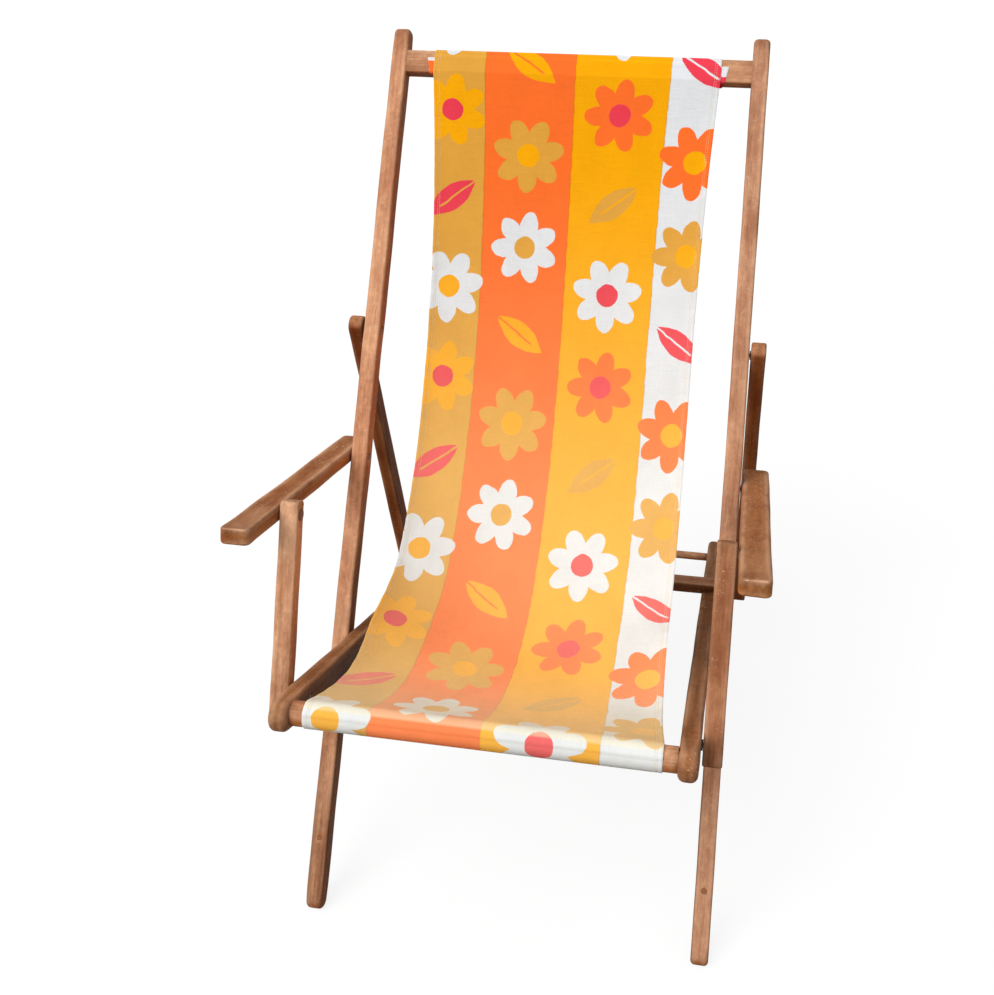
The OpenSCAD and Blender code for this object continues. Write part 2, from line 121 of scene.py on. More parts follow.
sky_low, sky_high, sky_dark_side = 0.10, 0.88, -0.25
sky_towards = (-0.42, -0.42, 0.80)
world = bpy.data.worlds.new("overcast")
scene.world = world
sky = empty_tree(world)
looking = add_node(sky, "TexCoord").outputs["Generated"]
sky_side = add_node(sky, "VectorMath", {0: looking, 1: sky_towards}, operation="DOT_PRODUCT")
sky_light = fade(sky, sky_side.outputs["Value"], sky_dark_side, 1.0, sky_low, sky_high)
sky_strength = add_node(sky, "MapRange", {"Value": seen_rays(sky), "To Min": sky_light, "To Max": 1.0})
background = add_node(sky, "Background", {"Color": (1, 1, 1, 1), "Strength": sky_strength.outputs[0]})
add_node(sky, "OutputWorld", {"Surface": background.outputs[0]})


def add_sun(name, towards, level, spread):
    """A distant lamp. towards points from the chair to the lamp, level is the brightness that it gives
    a white surface facing it, and spread is its width in degrees."""
    lamp = bpy.data.lights.new(name, "SUN")
    lamp.energy = level * math.pi
    lamp.angle = math.radians(spread)
    holder = bpy.data.objects.new(name, lamp)
    x, y, z = towards
    holder.rotation_euler = (math.atan2(math.hypot(x, y), z), 0.0, math.atan2(x, -y))
    scene.collection.objects.link(holder)


add_sun("soft_key", (-0.42, -0.60, 0.68), 0.62, 40)
add_sun("soft_fill", (0.45, -0.85, 0.30), 0.05, 60)

floor_white, floor_shade, floor_bounce = 0.85, 0.17, (0.15, 0.12, 0.085, 1)
floor_paint = bpy.data.materials.new("pale_floor")
paint = empty_tree(floor_paint)
bounce = add_node(paint, "BsdfDiffuse", {"Color": floor_bounce})
shade = add_node(paint, "BsdfDiffuse", {"Color": (floor_shade, floor_shade, floor_shade, 1)})
glow = add_node(paint, "Emission", {"Color": (1, 1, 1, 1), "Strength": floor_white})
pale = add_node(paint, "AddShader", {0: shade.outputs[0], 1: glow.outputs[0]})
either = add_node(paint, "MixShader", {0: seen_rays(paint), 1: bounce.outputs[0], 2: pale.outputs[0]})
add_node(paint, "OutputMaterial", {"Surface": either.outputs[0]})

floor_reach = 30.0
floor_mesh = bpy.data.meshes.new("floor")
floor_mesh.from_pydata([(x * floor_reach, y * floor_reach, 0.0)
                        for x, y in ((-1, -1), (1, -1), (1, 1), (-1, 1))], [], [(0, 1, 2, 3)])
floor_mesh.materials.append(floor_paint)
floor = bpy.data.objects.new("floor", floor_mesh)
scene.collection.objects.link(floor)

# The main rails
# Two long hardwood bars that run from the front feet up to the top rail. Each is planed with rounded
# edges, rounded at both ends and oiled; its upper faces are paler, partly from the weather and partly as
# painted light.
sides = (("left", -1), ("right", 1))
right_angle = math.pi / 2
wear_reach, end_grime, end_grime_reach, joint_grime_and_shade = 0.0030, 0.6, 0.012, 0.75
edge_wave, face_bow = 0.22, 0.7


def direction(angle):
    """Unit vectors in the chair's side plane, at an angle or angles from +Y towards +Z."""
    return np.stack([0 * angle, np.cos(angle), np.sin(angle)], axis=-1)


def to_side(x):
    """A step of x across the chair."""
    return np.array([x, 0.0, 0.0])


def slope(start, end):
    """The angle in the side plane from one point to another."""
    return math.atan2(end[2] - start[2], end[1] - start[1])


def middle(node):
    """The middle of a CAD node's box, moved to the chair's middle plane."""
    low, high = (np.array(corner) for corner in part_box(node))
    return (low + high) / 2 * np.array([0.0, 1.0, 1.0])


def layer(node):
    """How far from the middle plane a side piece starts and ends."""
    low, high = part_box(node)
    return tuple(sorted((abs(low.x), abs(high.x))))


def ramp(distance, reach):
    """0 at no distance or less, rising evenly to 1 at the reach."""
    return np.clip(distance / reach, 0, 1)


def bell(distance, reach):
    """A bell curve: 1 at no distance, 0.37 at the reach."""
    return np.exp(-(distance / reach) ** 2)


def grid_faces(rows, columns):
    """Quads between the neighbours of a grid of points numbered row by row, each row closed to a ring."""
    index = np.arange(rows * columns).reshape(rows, columns)
    index = np.concatenate([index, index[:, :1]], axis=1)
    corners = (index[:-1, :-1], index[:-1, 1:], index[1:, 1:], index[1:, :-1])
    return np.stack(corners, axis=-1).reshape(-1, 4)


def plank(length, depth, thick, end_radii, edge, end_edge=None, end_reach=0.012, step=0.008,
          wander=0.0003, seed=0):
    """A bar's closed surface, as (points, faces, values). Its columns follow the side outline, a rectangle
    with rounded ends; its rows go from the middle line of one face, over a quarter circle, the side and
    another quarter circle, to the middle line of the other face. A row that lies inside the outline is the
    outline moved inwards by that much. Points are (along, depth, thick); edge is the edge's radius, which
    becomes end_edge within end_reach of the ends."""
    count, bend = max(3, round(length / step)), 7
    round_end = 2 * bend - 1
    quarter = np.radians(np.linspace(0, 90, bend))
    down, up = np.full(count, -right_angle), np.full(count, right_angle)
    walk = np.linspace(0, 1, count)
    share = np.concatenate([walk, np.ones(round_end), walk[::-1], np.zeros(round_end)])
    side = np.concatenate([-np.ones(count + bend - 1), np.ones(count + round_end), -np.ones(bend)])
    arc = np.concatenate([down, quarter[1:] - right_angle, quarter, up,
                          quarter[1:] + right_angle, quarter + math.pi])
    # slow waves in the edge's radius and in the bar's line, as a hand plane leaves them; the numbers that
    # place and along are multiplied by are radians per metre
    swing = np.random.default_rng(seed).uniform(0, 2 * math.pi, 4)
    place = share * length
    waves = np.sin(place * 37 + side + swing[0]) * np.sin(place * 11 + swing[1])
    edge_here = edge * (1 + edge_wave * waves)
    if end_edge:
        edge_here = edge_here + (end_edge - edge) * bell(np.minimum(place, length - place), end_reach)
    face = np.array([1.0, 0.6, 0.28, 0.1])[:, None]
    turn = np.radians(np.linspace(0, 90, 5))[:, None]
    across = np.array([0.15, 0.5, 0.85])[:, None]
    inset = np.concatenate([edge_here + face * (depth / 2 - edge_here), edge_here * (1 - np.sin(turn)),
                            0 * across * edge_here, edge_here * (1 - np.cos(turn)),
                            edge_here + face[::-1] * (depth / 2 - edge_here)])
    level = np.concatenate([0 * face * edge_here, edge_here * (1 - np.cos(turn)),
                            edge_here + across * (thick - 2 * edge_here),
                            thick - edge_here * (1 - np.sin(turn)), thick + 0 * face * edge_here])
    half = depth / 2 - inset
    near, far = np.maximum(end_radii[0], inset), np.maximum(end_radii[1], inset)
    round_near, round_far = near - inset, far - inset
    radius = np.minimum(round_near + (round_far - round_near) * share, half)
    along = near + (length - far - near) * share + radius * np.cos(arc)
    up_down = side * (half - radius) + radius * np.sin(arc)
    bow = wander * (np.sin(along * 20 + swing[2]) + 0.5 * np.sin(along * 57 + swing[3]))
    points = np.stack([along, up_down + bow, level + face_bow * bow], axis=-1)
    from_edge = np.where(inset > edge_here, inset - edge_here,
                         np.maximum(np.minimum(level, thick - level) - edge_here, 0))
    grime_and_shade = end_grime * np.exp(-np.minimum(along, length - along) / end_grime_reach)
    values = {"edge": np.exp(-from_edge / wear_reach).ravel(), "grime_and_shade": grime_and_shade.ravel()}
    return points.reshape(-1, 3), grid_faces(*inset.shape), values


def set_out(points, origin, along, depth, thick):
    """Local points moved to where the bar lies: origin plus each coordinate times its axis."""
    return origin + points @ np.stack([along, depth, thick])


def side_bar(node, sign, pivot, back, angle, length, depth, end_radii, *edges, seed):
    """A side piece, as (local, points, faces, values): a plank in its CAD node's layer that starts some way
    back from a pivot and runs along an angle. Its foot is worn flat on the floor. local holds its points
    before they were set out, and edges are plank's edge, end_edge and end_reach."""
    inner, outer = layer(node)
    local, faces, values = plank(length, depth, outer - inner, end_radii, *edges, seed=seed + sign)
    start = pivot - direction(angle) * back + to_side(sign * inner)
    points = set_out(local, start, direction(angle), direction(angle + right_angle), to_side(sign))
    points[:, 2] = np.maximum(points[:, 2], 0.0)
    return local, points, faces, values


def make_mesh(name, points, faces, values=None):
    """A closed mesh: doubled points on seams and poles are merged, and all faces turned round if the
    enclosed volume, summed over corner fans, comes out negative."""
    corner = points[faces]
    fans = np.einsum("ij,ij->i", corner[:, 0], np.cross(corner[:, 1], corner[:, 2]))
    fans = fans + np.einsum("ij,ij->i", corner[:, 0], np.cross(corner[:, 2], corner[:, 3]))
    mesh = bpy.data.meshes.new(name)
    mesh.from_pydata(points.tolist(), [], (faces if fans.sum() > 0 else faces[:, ::-1]).tolist())
    for label, value in (values or {}).items():
        mesh.attributes.new(label, "FLOAT", "POINT").data.foreach_set("value", value.astype(np.float32))
    draft = bmesh.new()
    draft.from_mesh(mesh)
    bmesh.ops.remove_doubles(draft, verts=draft.verts, dist=2e-6)
    bmesh.ops.dissolve_degenerate(draft, edges=draft.edges, dist=1e-6)
    draft.to_mesh(mesh)
    draft.free()
    return mesh


def cut_away(whole, cutters):
    """The mesh of a closed shape with others cut out of it for good, each given as make_mesh takes it."""
    body = bpy.data.objects.new("body", make_mesh("body", *whole))
    scene.collection.objects.link(body)
    tools = []
    for number, shape in enumerate(cutters):
        tool = bpy.data.objects.new("tool", make_mesh("tool", *shape))
        scene.collection.objects.link(tool)
        tools.append(tool)
        saw = body.modifiers.new(f"cut_{number}", "BOOLEAN")
        saw.operation, saw.solver, saw.object = "DIFFERENCE", "EXACT", tool
    made = bpy.data.meshes.new_from_object(body.evaluated_get(bpy.context.evaluated_depsgraph_get()))
    for spent in [body, *tools]:
        bpy.data.objects.remove(spent)
    return made


def finish_piece(name, mesh, material, sharp=38):
    """An object of the mesh, smooth but for edges sharper than sharp degrees, whose points also keep how
    far they face upwards."""
    facing = np.zeros(len(mesh.vertices) * 3, np.float32)
    mesh.vertex_normals.foreach_get("vector", facing)
    mesh.attributes.new("up", "FLOAT", "POINT").data.foreach_set("value", facing[2::3].copy())
    mesh.shade_smooth()
    mesh.set_sharp_from_angle(angle=math.radians(sharp))
    mesh.name = name
    mesh.materials.clear()
    mesh.materials.append(material)
    piece = bpy.data.objects.new(name, mesh)
    scene.collection.objects.link(piece)
    return piece


def install(name, mesh, material, body, node, sharp=38):
    """The finished piece rides on a body, takes a material slot and stands for its CAD node."""
    piece = finish_piece(name, mesh, material, sharp)
    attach(piece, body)
    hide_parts(node)


def new_group(name, inputs, outputs):
    """An empty shader node group, with its input sockets and output sockets."""
    group = bpy.data.node_groups.new(name, "ShaderNodeTree")
    for way, sockets in (("INPUT", inputs), ("OUTPUT", outputs)):
        for label, kind in sockets.items():
            group.interface.new_socket(label, in_out=way, socket_type="NodeSocket" + kind)
    return group, group.nodes.new("NodeGroupInput").outputs, group.nodes.new("NodeGroupOutput").inputs


def linear(red, green, blue):
    """A colour given in screen values from 0 to 255, as the linear colour that nodes take."""
    part = np.array([red, green, blue]) / 255
    part = np.where(part > 0.04045, ((part + 0.055) / 1.055) ** 2.4, part / 12.92)
    return (*part.tolist(), 1.0)


def times(tree, first, second):
    """The product of two values."""
    return calc(tree, "MULTIPLY", first, second)


def diagonal(tree, first, second):
    """The length of the diagonal between two sides."""
    return calc(tree, "SQRT", calc(tree, "MULTIPLY_ADD", first, first, times(tree, second, second)))


def vector_calc(tree, operation, first, second):
    """The vector that one Vector Math node gives."""
    return add_node(tree, "VectorMath", {0: first, 1: second}, operation=operation).outputs[0]


def mix(tree, share, first, second, blend="MIX"):
    """Two colours mixed: none of the second at share 0, all of it at 1."""
    made = add_node(tree, "Mix", {0: share, 6: first, 7: second}, data_type="RGBA", blend_type=blend)
    return made.outputs[2]


def noise(tree, vector, stretch, detail=3.0, rough=0.5):
    """Noise with a feature every 1 / stretch metres along each axis, from 0 to 1."""
    scaled = vector_calc(tree, "MULTIPLY", vector, stretch)
    made = add_node(tree, "TexNoise", {"Vector": scaled, "Scale": 1.0, "Detail": detail, "Roughness": rough})
    return made.outputs[0]


def stored(tree, label):
    """A value that the mesh keeps at its points."""
    return add_node(tree, "Attribute", attribute_name=label).outputs["Fac"]


def surface(tree, inputs, height=None, strength=0.5, distance=0.0003):
    """Ends a material's tree in a surface, which has a bump where a height is given."""
    if height:
        bump = add_node(tree, "Bump", {"Height": height, "Strength": strength, "Distance": distance})
        inputs = {**inputs, "Normal": bump.outputs[0]}
    made = add_node(tree, "BsdfPrincipled", inputs)
    add_node(tree, "OutputMaterial", {"Surface": made.outputs[0]})


# Oiled hardwood: growth rings that wander along the bar, fibre streaks, pores, pale dents, grime in the
# joints with painted shade, and a tone of its own on the sides that face the sky, partly weathering and
# partly painted light
rings_per_metre, pith_below, ring_drift = 230.0, 0.047, 0.034
wood, given, result = new_group(
    "worn_wood", {"Grain": "Vector", "Upper_tone": "Color", "Other_tone": "Color", "Up": "Float", "Edge": "Float",
                  "Grime_and_shade": "Float", "Wear": "Float", "Streaks": "Float"},
    {"Color": "Color", "Roughness": "Float", "Height": "Float"})
grain, wear = given["Grain"], given["Wear"]
apart = add_node(wood, "SeparateXYZ", {0: grain}).outputs
drift = calc(wood, "MULTIPLY_ADD", noise(wood, grain, (9, 3.2, 9), 2.0), ring_drift, -ring_drift / 2)
ring_radius = diagonal(wood, calc(wood, "ADD", apart[0], drift), calc(wood, "ADD", apart[2], pith_below))
ring_share = calc(wood, "FRACT", times(wood, ring_radius, rings_per_metre))
late_wood = times(wood, fade(wood, ring_share, 0.35, 0.93), fade(wood, ring_share, 0.93, 1.0, 1.0, 0.0))
fibre = noise(wood, grain, (620, 14, 620), 4.0, 0.6)
streak = noise(wood, grain, (130, 4.0, 130), 3.0, 0.55)
blotch = noise(wood, grain, (26, 9, 26), 3.0, 0.55)
mottle = noise(wood, grain, (150, 90, 150), 3.0, 0.6)
pores = fade(wood, noise(wood, grain, (1100, 55, 1100), 2.0, 0.5), 0.60, 0.70)
dented = fade(wood, noise(wood, grain, (30, 16, 30), 2.0), 0.42, 0.62)
dents = fade(wood, noise(wood, grain, (300, 210, 300), 2.0, 0.6), 0.64, 0.72)
scratches = fade(wood, noise(wood, grain, (150, 700, 150), 2.0, 0.5), 0.66, 0.72)
dents = times(wood, calc(wood, "MAXIMUM", dents, scratches), dented)
# upper faces take the upper tone and the others the other tone: partly weathering, and where the upper tone
# is paler also painted light, with painted shade on the other faces
upper_share = fade(wood, calc(wood, "MULTIPLY_ADD", blotch, 0.35, given["Up"]), 0.10, 0.62)
tone = mix(wood, upper_share, given["Other_tone"], given["Upper_tone"])
# what stains or brightens the wood, and how much of it there is
stains = (
    (times(wood, fade(wood, streak, 0.30, 0.70, 0.16, 0.0), given["Streaks"]), linear(150, 84, 40)),
    (fade(wood, blotch, 0.34, 0.62, 0.42, 0.0), linear(170, 110, 70)),
    (fade(wood, mottle, 0.36, 0.66, 0.26, 0.0), linear(180, 128, 90)),
    (fade(wood, mottle, 0.55, 0.72, 0.0, 0.18), (1.5, 1.5, 1.45, 1.0)),
    (times(wood, times(wood, late_wood, 0.12), given["Streaks"]), linear(120, 70, 36)),
    (fade(wood, fibre, 0.35, 0.70, 0.0, 0.10), (1.9, 1.9, 1.9, 1.0)))
for share, stain in stains:
    tone = mix(wood, share, tone, stain, "MULTIPLY")
# what covers it: dark pores, rubbed edges, pale dents, and grime, which also carries painted shade
covers = (
    (times(wood, pores, 0.34), linear(84, 46, 22)),
    (times(wood, times(wood, given["Edge"], fade(wood, blotch, 0.32, 0.66, 0.12, 0.46)), wear),
     linear(232, 186, 150)),
    (times(wood, dents, times(wood, wear, 0.62)), linear(236, 200, 172)),
    (times(wood, given["Grime_and_shade"], fade(wood, streak, 0.25, 0.65, 0.9, 0.45)), linear(58, 32, 15)))
for share, cover in covers:
    tone = mix(wood, share, tone, cover)
relief = calc(wood, "MULTIPLY_ADD", fibre, 0.35, times(wood, late_wood, -0.18))
for share, height in ((pores, -0.55), (dents, -0.30)):
    relief = calc(wood, "MULTIPLY_ADD", share, height, relief)
rough = calc(wood, "ADD", fade(wood, fibre, 0.3, 0.7, 0.48, 0.64), times(wood, upper_share, 0.10))
for label, made in (("Color", tone), ("Roughness", rough), ("Height", relief)):
    wood.links.new(made, result[label])


def wood_finish(name, turn, upper_face_tone, other_face_tone, wear=0.6, streaks=1.0):
    """A wood material whose grain runs along the bar: turn is the Mapping that lays the bar along Y, and
    the two tones are screen colours."""
    material = bpy.data.materials.new(name)
    tree = empty_tree(material)
    place = add_node(tree, "TexCoord").outputs["Object"]
    laid = add_node(tree, "Mapping", {"Vector": place, "Rotation": turn}).outputs[0]
    known = {label: stored(tree, label.lower()) for label in ("Up", "Edge", "Grime_and_shade")}
    worn = add_node(tree, "Group", {
        "Grain": laid, **known, "Upper_tone": linear(*upper_face_tone), "Other_tone": linear(*other_face_tone), "Wear": wear,
        "Streaks": streaks}, node_tree=wood).outputs
    surface(tree, {"Base Color": worn["Color"], "Roughness": worn["Roughness"], "Specular IOR Level": 0.04},
            worn["Height"], 0.5, 0.0006)
    return material


def darken_joints(points, values, joints, reach=0.016):
    """Darkens round the joints' axes with grime and with painted shade for the gaps between the pieces: a
    bell curve of the distance from each in the side plane.
    """
    for joint in joints:
        away = np.hypot(*(points - joint)[:, 1:].T)
        values["grime_and_shade"] = np.maximum(values["grime_and_shade"], joint_grime_and_shade * bell(away, reach))


def turned(profile, centre, axis, segments=40, limit=None):
    """A surface of revolution, as (points, faces): each (along, radius) pair of the profile is a ring round
    the axis through centre. limit caps the radius at each angle, which makes a hexagon of a circle."""
    axis = np.asarray(axis, float)
    across = np.cross(axis, (0.0, 0.6, 0.8))
    across = across / np.linalg.norm(across)
    other = np.cross(axis, across)
    angle = np.linspace(0, 2 * math.pi, segments, endpoint=False)
    along, radius = np.asarray(profile, float).T
    radius = np.minimum(radius[:, None], np.inf if limit is None else limit(angle))
    points = (centre + along[:, None, None] * axis
              + (radius * np.cos(angle))[..., None] * across + (radius * np.sin(angle))[..., None] * other)
    return points.reshape(-1, 3), grid_faces(len(along), segments)


seat_bolt, thin_bolt = 0.0040, 0.0030
head_spread, head_sunk, head_play = 1.9, 0.0003, 0.0002
nut_corner, nut_room, nut_sunk = 1.85, 0.0006, 0.0068
cut_over = 0.01


def drill(profile, centre, axis, segments=32):
    """A turned cutter, which leaves its cut faces full of grime."""
    points, faces = turned(profile, centre, axis, segments)
    return points, faces, {"grime_and_shade": np.ones(len(points)), "edge": np.zeros(len(points))}


def nut_recess(centre, face, sign, bolt):
    """The round hole that sinks a washer and a nut into the inner face of a rail."""
    rim, over, floor_at = nut_corner * bolt + nut_room, face - cut_over, face + nut_sunk
    return drill([(over, 0), (over, rim), (floor_at, rim), (floor_at, 0)], centre, to_side(sign))


def head_recess(centre, face, sign, bolt):
    """The cone that takes a flat bolt head, which lies a little below the outer face."""
    rim, high, over = head_spread * bolt + head_play, face - head_sunk, face + cut_over
    low = high - (head_spread - 1) * bolt
    return drill([(low, 0), (low, bolt), (high, rim), (over, rim), (over, 0)], centre, to_side(sign))


joint_at = {joint["name"]: np.array(joint["pos_m"], float) for joint in frame["joints"]}
seat_pivot, prop_pivot = joint_at["seat_fold"], joint_at["prop_swing"]
arm_pivot, post_pivot = joint_at["arm_left_swing"], joint_at["post_left_swing"]
head_pivot = middle("arm_screw_left")
main_in, main_out = layer("main_rail_right")
seat_in, seat_out = layer("seat_rail_right")
prop_in, prop_out = layer("prop_rail_right")
arm_in, arm_out = layer("armrest_right")
post_in, post_out = layer("arm_post_right")
main_angle = slope(seat_pivot, prop_pivot)
main_up, main_forward = direction(main_angle), direction(main_angle + right_angle)
main_length, main_foot, main_depth = 1.293, 0.373, 0.028
main_edge, main_end_edge, main_top_radius = 0.0036, 0.0058, 0.011
main_foot_point = seat_pivot - main_up * main_foot
main_turn = (-main_angle, 0, 0)
main_woods = {"left": wood_finish("left_main_wood", main_turn, (221, 165, 126), (199, 127, 76)),
              "right": wood_finish("right_main_wood", main_turn, (199, 149, 116), (184, 120, 75))}
plug_up, plug_radius, plug_hole = 0.100, 0.0040, 0.03
# the legs darker towards the floor, and painted shade on the inner faces, which the canvas shades
leg_foot_dark, leg_foot_top, leg_foot_fade = {"left": 0.64, "right": 0.06}, 0.34, 0.24
painted_shade_depth, shade_height, shade_fade, shade_least, shade_skin = 0.75, 0.62, 0.12, 0.25, 0.003
# painted shade darkens one patch of each rail, on the left above the joint with the seat and on the right by
# the
# armrest: its middle's distance up the rail, its reach and its depth
shade_patches = {"left": (0.400, 0.030, 0.36), "right": (0.605, 0.055, 0.50)}


def plug_point(sign):
    """Where a leg's plug is centred: on the middle line of the main rail."""
    return main_foot_point + main_up * plug_up + to_side(sign * (main_in + main_out) / 2)


for hand, sign in sides:
    _, points, faces, values = side_bar(
        f"main_rail_{hand}", sign, seat_pivot, main_foot, main_angle, main_length, main_depth,
        (main_depth / 2, main_top_radius), main_edge, main_end_edge, seed=3)
    darken_joints(points, values, (seat_pivot, prop_pivot, arm_pivot), 0.010)
    # the legs are darker towards the floor, the left one most
    darker_foot = leg_foot_dark[hand] * ramp(leg_foot_top - points[:, 2], leg_foot_fade)
    # painted shade on the inner faces: full low down, a quarter of it higher up
    shaded = painted_shade_depth * (1 - ramp(np.abs(points[:, 0]) - main_in, shade_skin))
    shaded = shaded * np.clip((shade_height - points[:, 2]) / shade_fade, shade_least, 1)
    # painted shade on one patch of the rail
    patch_up, patch_reach, patch_shade = shade_patches[hand]
    shade_patch = patch_shade * bell((points - main_foot_point) @ main_up - patch_up, patch_reach)
    values["grime_and_shade"] = np.maximum.reduce([values["grime_and_shade"], darker_foot, shaded, shade_patch])
    holes = [drill([(0, 0), (0, plug_radius), (plug_hole, plug_radius), (plug_hole, 0)], plug_point(sign),
                   main_forward, 40), head_recess(seat_pivot, main_out, sign, seat_bolt)]
    holes += [nut_recess(pivot, main_in, sign, thin_bolt) for pivot in (prop_pivot, arm_pivot)]
    rail = cut_away((points, faces, values), holes)
    install(f"{hand}_main_rail", rail, main_woods[hand], "main_frame", f"main_rail_{hand}")


# The leg plugs
# A round plug of darker wood in the front of each leg, driven in and trimmed nearly flush. It shows its
# end grain, and the hole's rim stays open as a hairline.
plug_wood = wood_finish("plug_wood", (-main_angle - right_angle, 0, 0), (160, 110, 76),
                        (146, 98, 64), 0.3)
plug_face, plug_deep, plug_sunk, plug_crown, plug_gap = main_depth / 2, 0.014, 0.0004, 0.0006, 0.00025
plug_profile = [(plug_face - plug_sunk + plug_crown * math.cos(a), (plug_radius - plug_gap) * math.sin(a))
                for a in np.radians(np.linspace(0, 90, 6))]
plug_profile += [(plug_face - plug_deep, plug_radius - plug_gap), (plug_face - plug_deep, 0)]


def joined(parts):
    """Points and faces of several parts, each given as (points, faces), as one set."""
    starts = np.cumsum([0] + [len(points) for points, _ in parts])
    return (np.concatenate([points for points, _ in parts]),
            np.concatenate([faces + start for (_, faces), start in zip(parts, starts)]))


plugs = make_mesh("plugs", *joined([turned(plug_profile, plug_point(sign), main_forward, 32)
                                    for _, sign in sides]))
install("dowel_plugs", plugs, plug_wood, "main_frame", "leg_plugs", 50)

# The top rail
# A bar tenoned between the main rails near their top ends. The canvas is wrapped round it, and only
# its bare ends show.
cross_wood = wood_finish("cross_rail_wood", (0, 0, right_angle), (210, 158, 120), (193, 127, 80))
top_middle = middle("top_rail")
top_height, top_thick, top_edge = 0.035, 0.025, 0.0030
tenon = 0.006


def cross_bar(centre, reach, height, thick, edge, angle, seed):
    """The mesh of a bar along X from -reach to reach, its height along an angle in the side plane."""
    points, faces, values = plank(2 * reach, height, thick, (edge, edge), edge, seed=seed)
    origin = centre + to_side(-reach) - direction(angle + right_angle) * thick / 2
    points = set_out(points, origin, to_side(1), direction(angle), direction(angle + right_angle))
    return make_mesh("bar", points, faces, values)


top_bar = cross_bar(top_middle, main_in + tenon, top_height, top_thick, top_edge, main_angle, 11)
install("top_cross_rail", top_bar, cross_wood, "main_frame", "top_rail")


# The seat rails
# Two deeper bars that cross the main rails at the seat pivot, with round ends, and with three notches
# sawn in their upper edge for the prop's crossbar.
seat_angle = slope(post_pivot, seat_pivot)
seat_front, seat_rear, seat_depth = 0.319, 0.850, 0.038
seat_edge, seat_end_edge, seat_end_reach = 0.0040, 0.0078, 0.022
cross_middle = middle("prop_crossbar")
prop_angle = slope(prop_pivot, cross_middle)
notch_count, notch_step, notch_play, notch_over, notch_edge = 3, 0.060, 0.0004, 0.005, 0.0004
cross_height, cross_thick = 0.026, 0.018
seat_wood = wood_finish("seat_rail_wood", (-seat_angle, 0, 0), (166, 111, 66), (150, 94, 50), 0.9)
dowel_middle, front_middle = middle("rear_dowel"), middle("front_rail")
# painted shade on the inner face, beside the canvas but not in front of it, there partly a dark stain;
# painted shade along the right rail, and grime at the left rail's front end
seat_shade, seat_skin, seat_bare = 0.85, 0.005, 0.03
seat_shade_and_grime = {"left": (0.0, 0.26), "right": (0.36, 0.0)}
front_reach, front_rubbed = 0.020, 0.15


def notch(number, low, high):
    """The crossbar's section with its play, carried across the rail: the shape of one notch."""
    points, faces, _ = plank(cross_height + 2 * notch_play, cross_thick + 2 * notch_play,
                             high - low + 2 * notch_over, (2 * notch_edge, 2 * notch_edge), notch_edge,
                             step=0.02, wander=0)
    start = cross_middle - direction(seat_angle) * number * notch_step
    start = start - direction(prop_angle) * (cross_height / 2 + notch_play) + to_side(low - notch_over)
    return set_out(points, start, direction(prop_angle), direction(prop_angle + right_angle),
                   to_side(1)), faces


for hand, sign in sides:
    local, points, faces, values = side_bar(
        f"seat_rail_{hand}", sign, seat_pivot, seat_front, seat_angle, seat_front + seat_rear, seat_depth,
        (seat_depth / 2, seat_depth / 2), seat_edge, seat_end_edge, seat_end_reach, seed=21)
    # painted shade on the inner face, partly a dark stain
    shaded = seat_shade * (1 - ramp(local[:, 2], seat_skin)) * ramp(local[:, 0] - seat_bare, seat_bare)
    at_front = bell(local[:, 0], front_reach)
    # painted shade along the right rail, grime at the left rail's front end
    shade_and_grime = seat_shade_and_grime[hand][0] * (1 - at_front) + seat_shade_and_grime[hand][1] * at_front
    values["grime_and_shade"] = np.maximum.reduce([values["grime_and_shade"] * (1 - at_front), shaded, shade_and_grime])
    values["edge"] = np.maximum(values["edge"], front_rubbed * at_front)
    darken_joints(points, values, (seat_pivot, post_pivot, dowel_middle))
    low, high = sorted((sign * seat_in, sign * seat_out))
    holes = [nut_recess(pivot, seat_in, sign, bolt)
             for pivot, bolt in ((seat_pivot, seat_bolt), (post_pivot, thin_bolt))]
    holes += [notch(number, low, high) for number in range(notch_count)]
    rail = cut_away((points, faces, values), holes)
    install(f"{hand}_seat_rail", rail, seat_wood, "seat_frame", f"seat_rail_{hand}")


# The front rail and the rear dowel
# Two turned rounds between the seat rails, glued into blind holes. The front one carries the canvas.
front_radius, front_tenon, dowel_radius, blind = 0.015, 0.009, 0.0075, 0.014
round_steps, lathe_wave, glue_grime, glue_reach = 60, 0.00012, 0.8, 0.003


def turned_rail(centre, radius, end_radius, seed):
    """The mesh of a round along X: a tenon, the full radius with slow lathe waves, and a tenon."""
    span = np.linspace(-seat_in, seat_in, round_steps)
    swing = np.random.default_rng(seed).uniform(0, 6, 2)
    wave = radius + lathe_wave * np.sin(span * 70 + swing[0]) * np.sin(span * 13 + swing[1])
    profile = [(span[0] - blind, 0), (span[0] - blind, end_radius), (span[0], end_radius), *zip(span, wave),
               (span[-1], end_radius), (span[-1] + blind, end_radius), (span[-1] + blind, 0)]
    points, faces = turned(profile, centre, (1.0, 0, 0))
    grime_and_shade = glue_grime * np.exp(-np.maximum(seat_in - np.abs(points[:, 0]), 0) / glue_reach)
    return make_mesh("round", points, faces, {"grime_and_shade": grime_and_shade, "edge": 0 * grime_and_shade})


front_round = turned_rail(front_middle, front_radius, front_tenon, 5)
install("front_round_rail", front_round, cross_wood, "seat_frame", "front_rail")
rear_round = turned_rail(dowel_middle, dowel_radius, dowel_radius, 6)
install("rear_round_dowel", rear_round, cross_wood, "seat_frame", "rear_dowel")

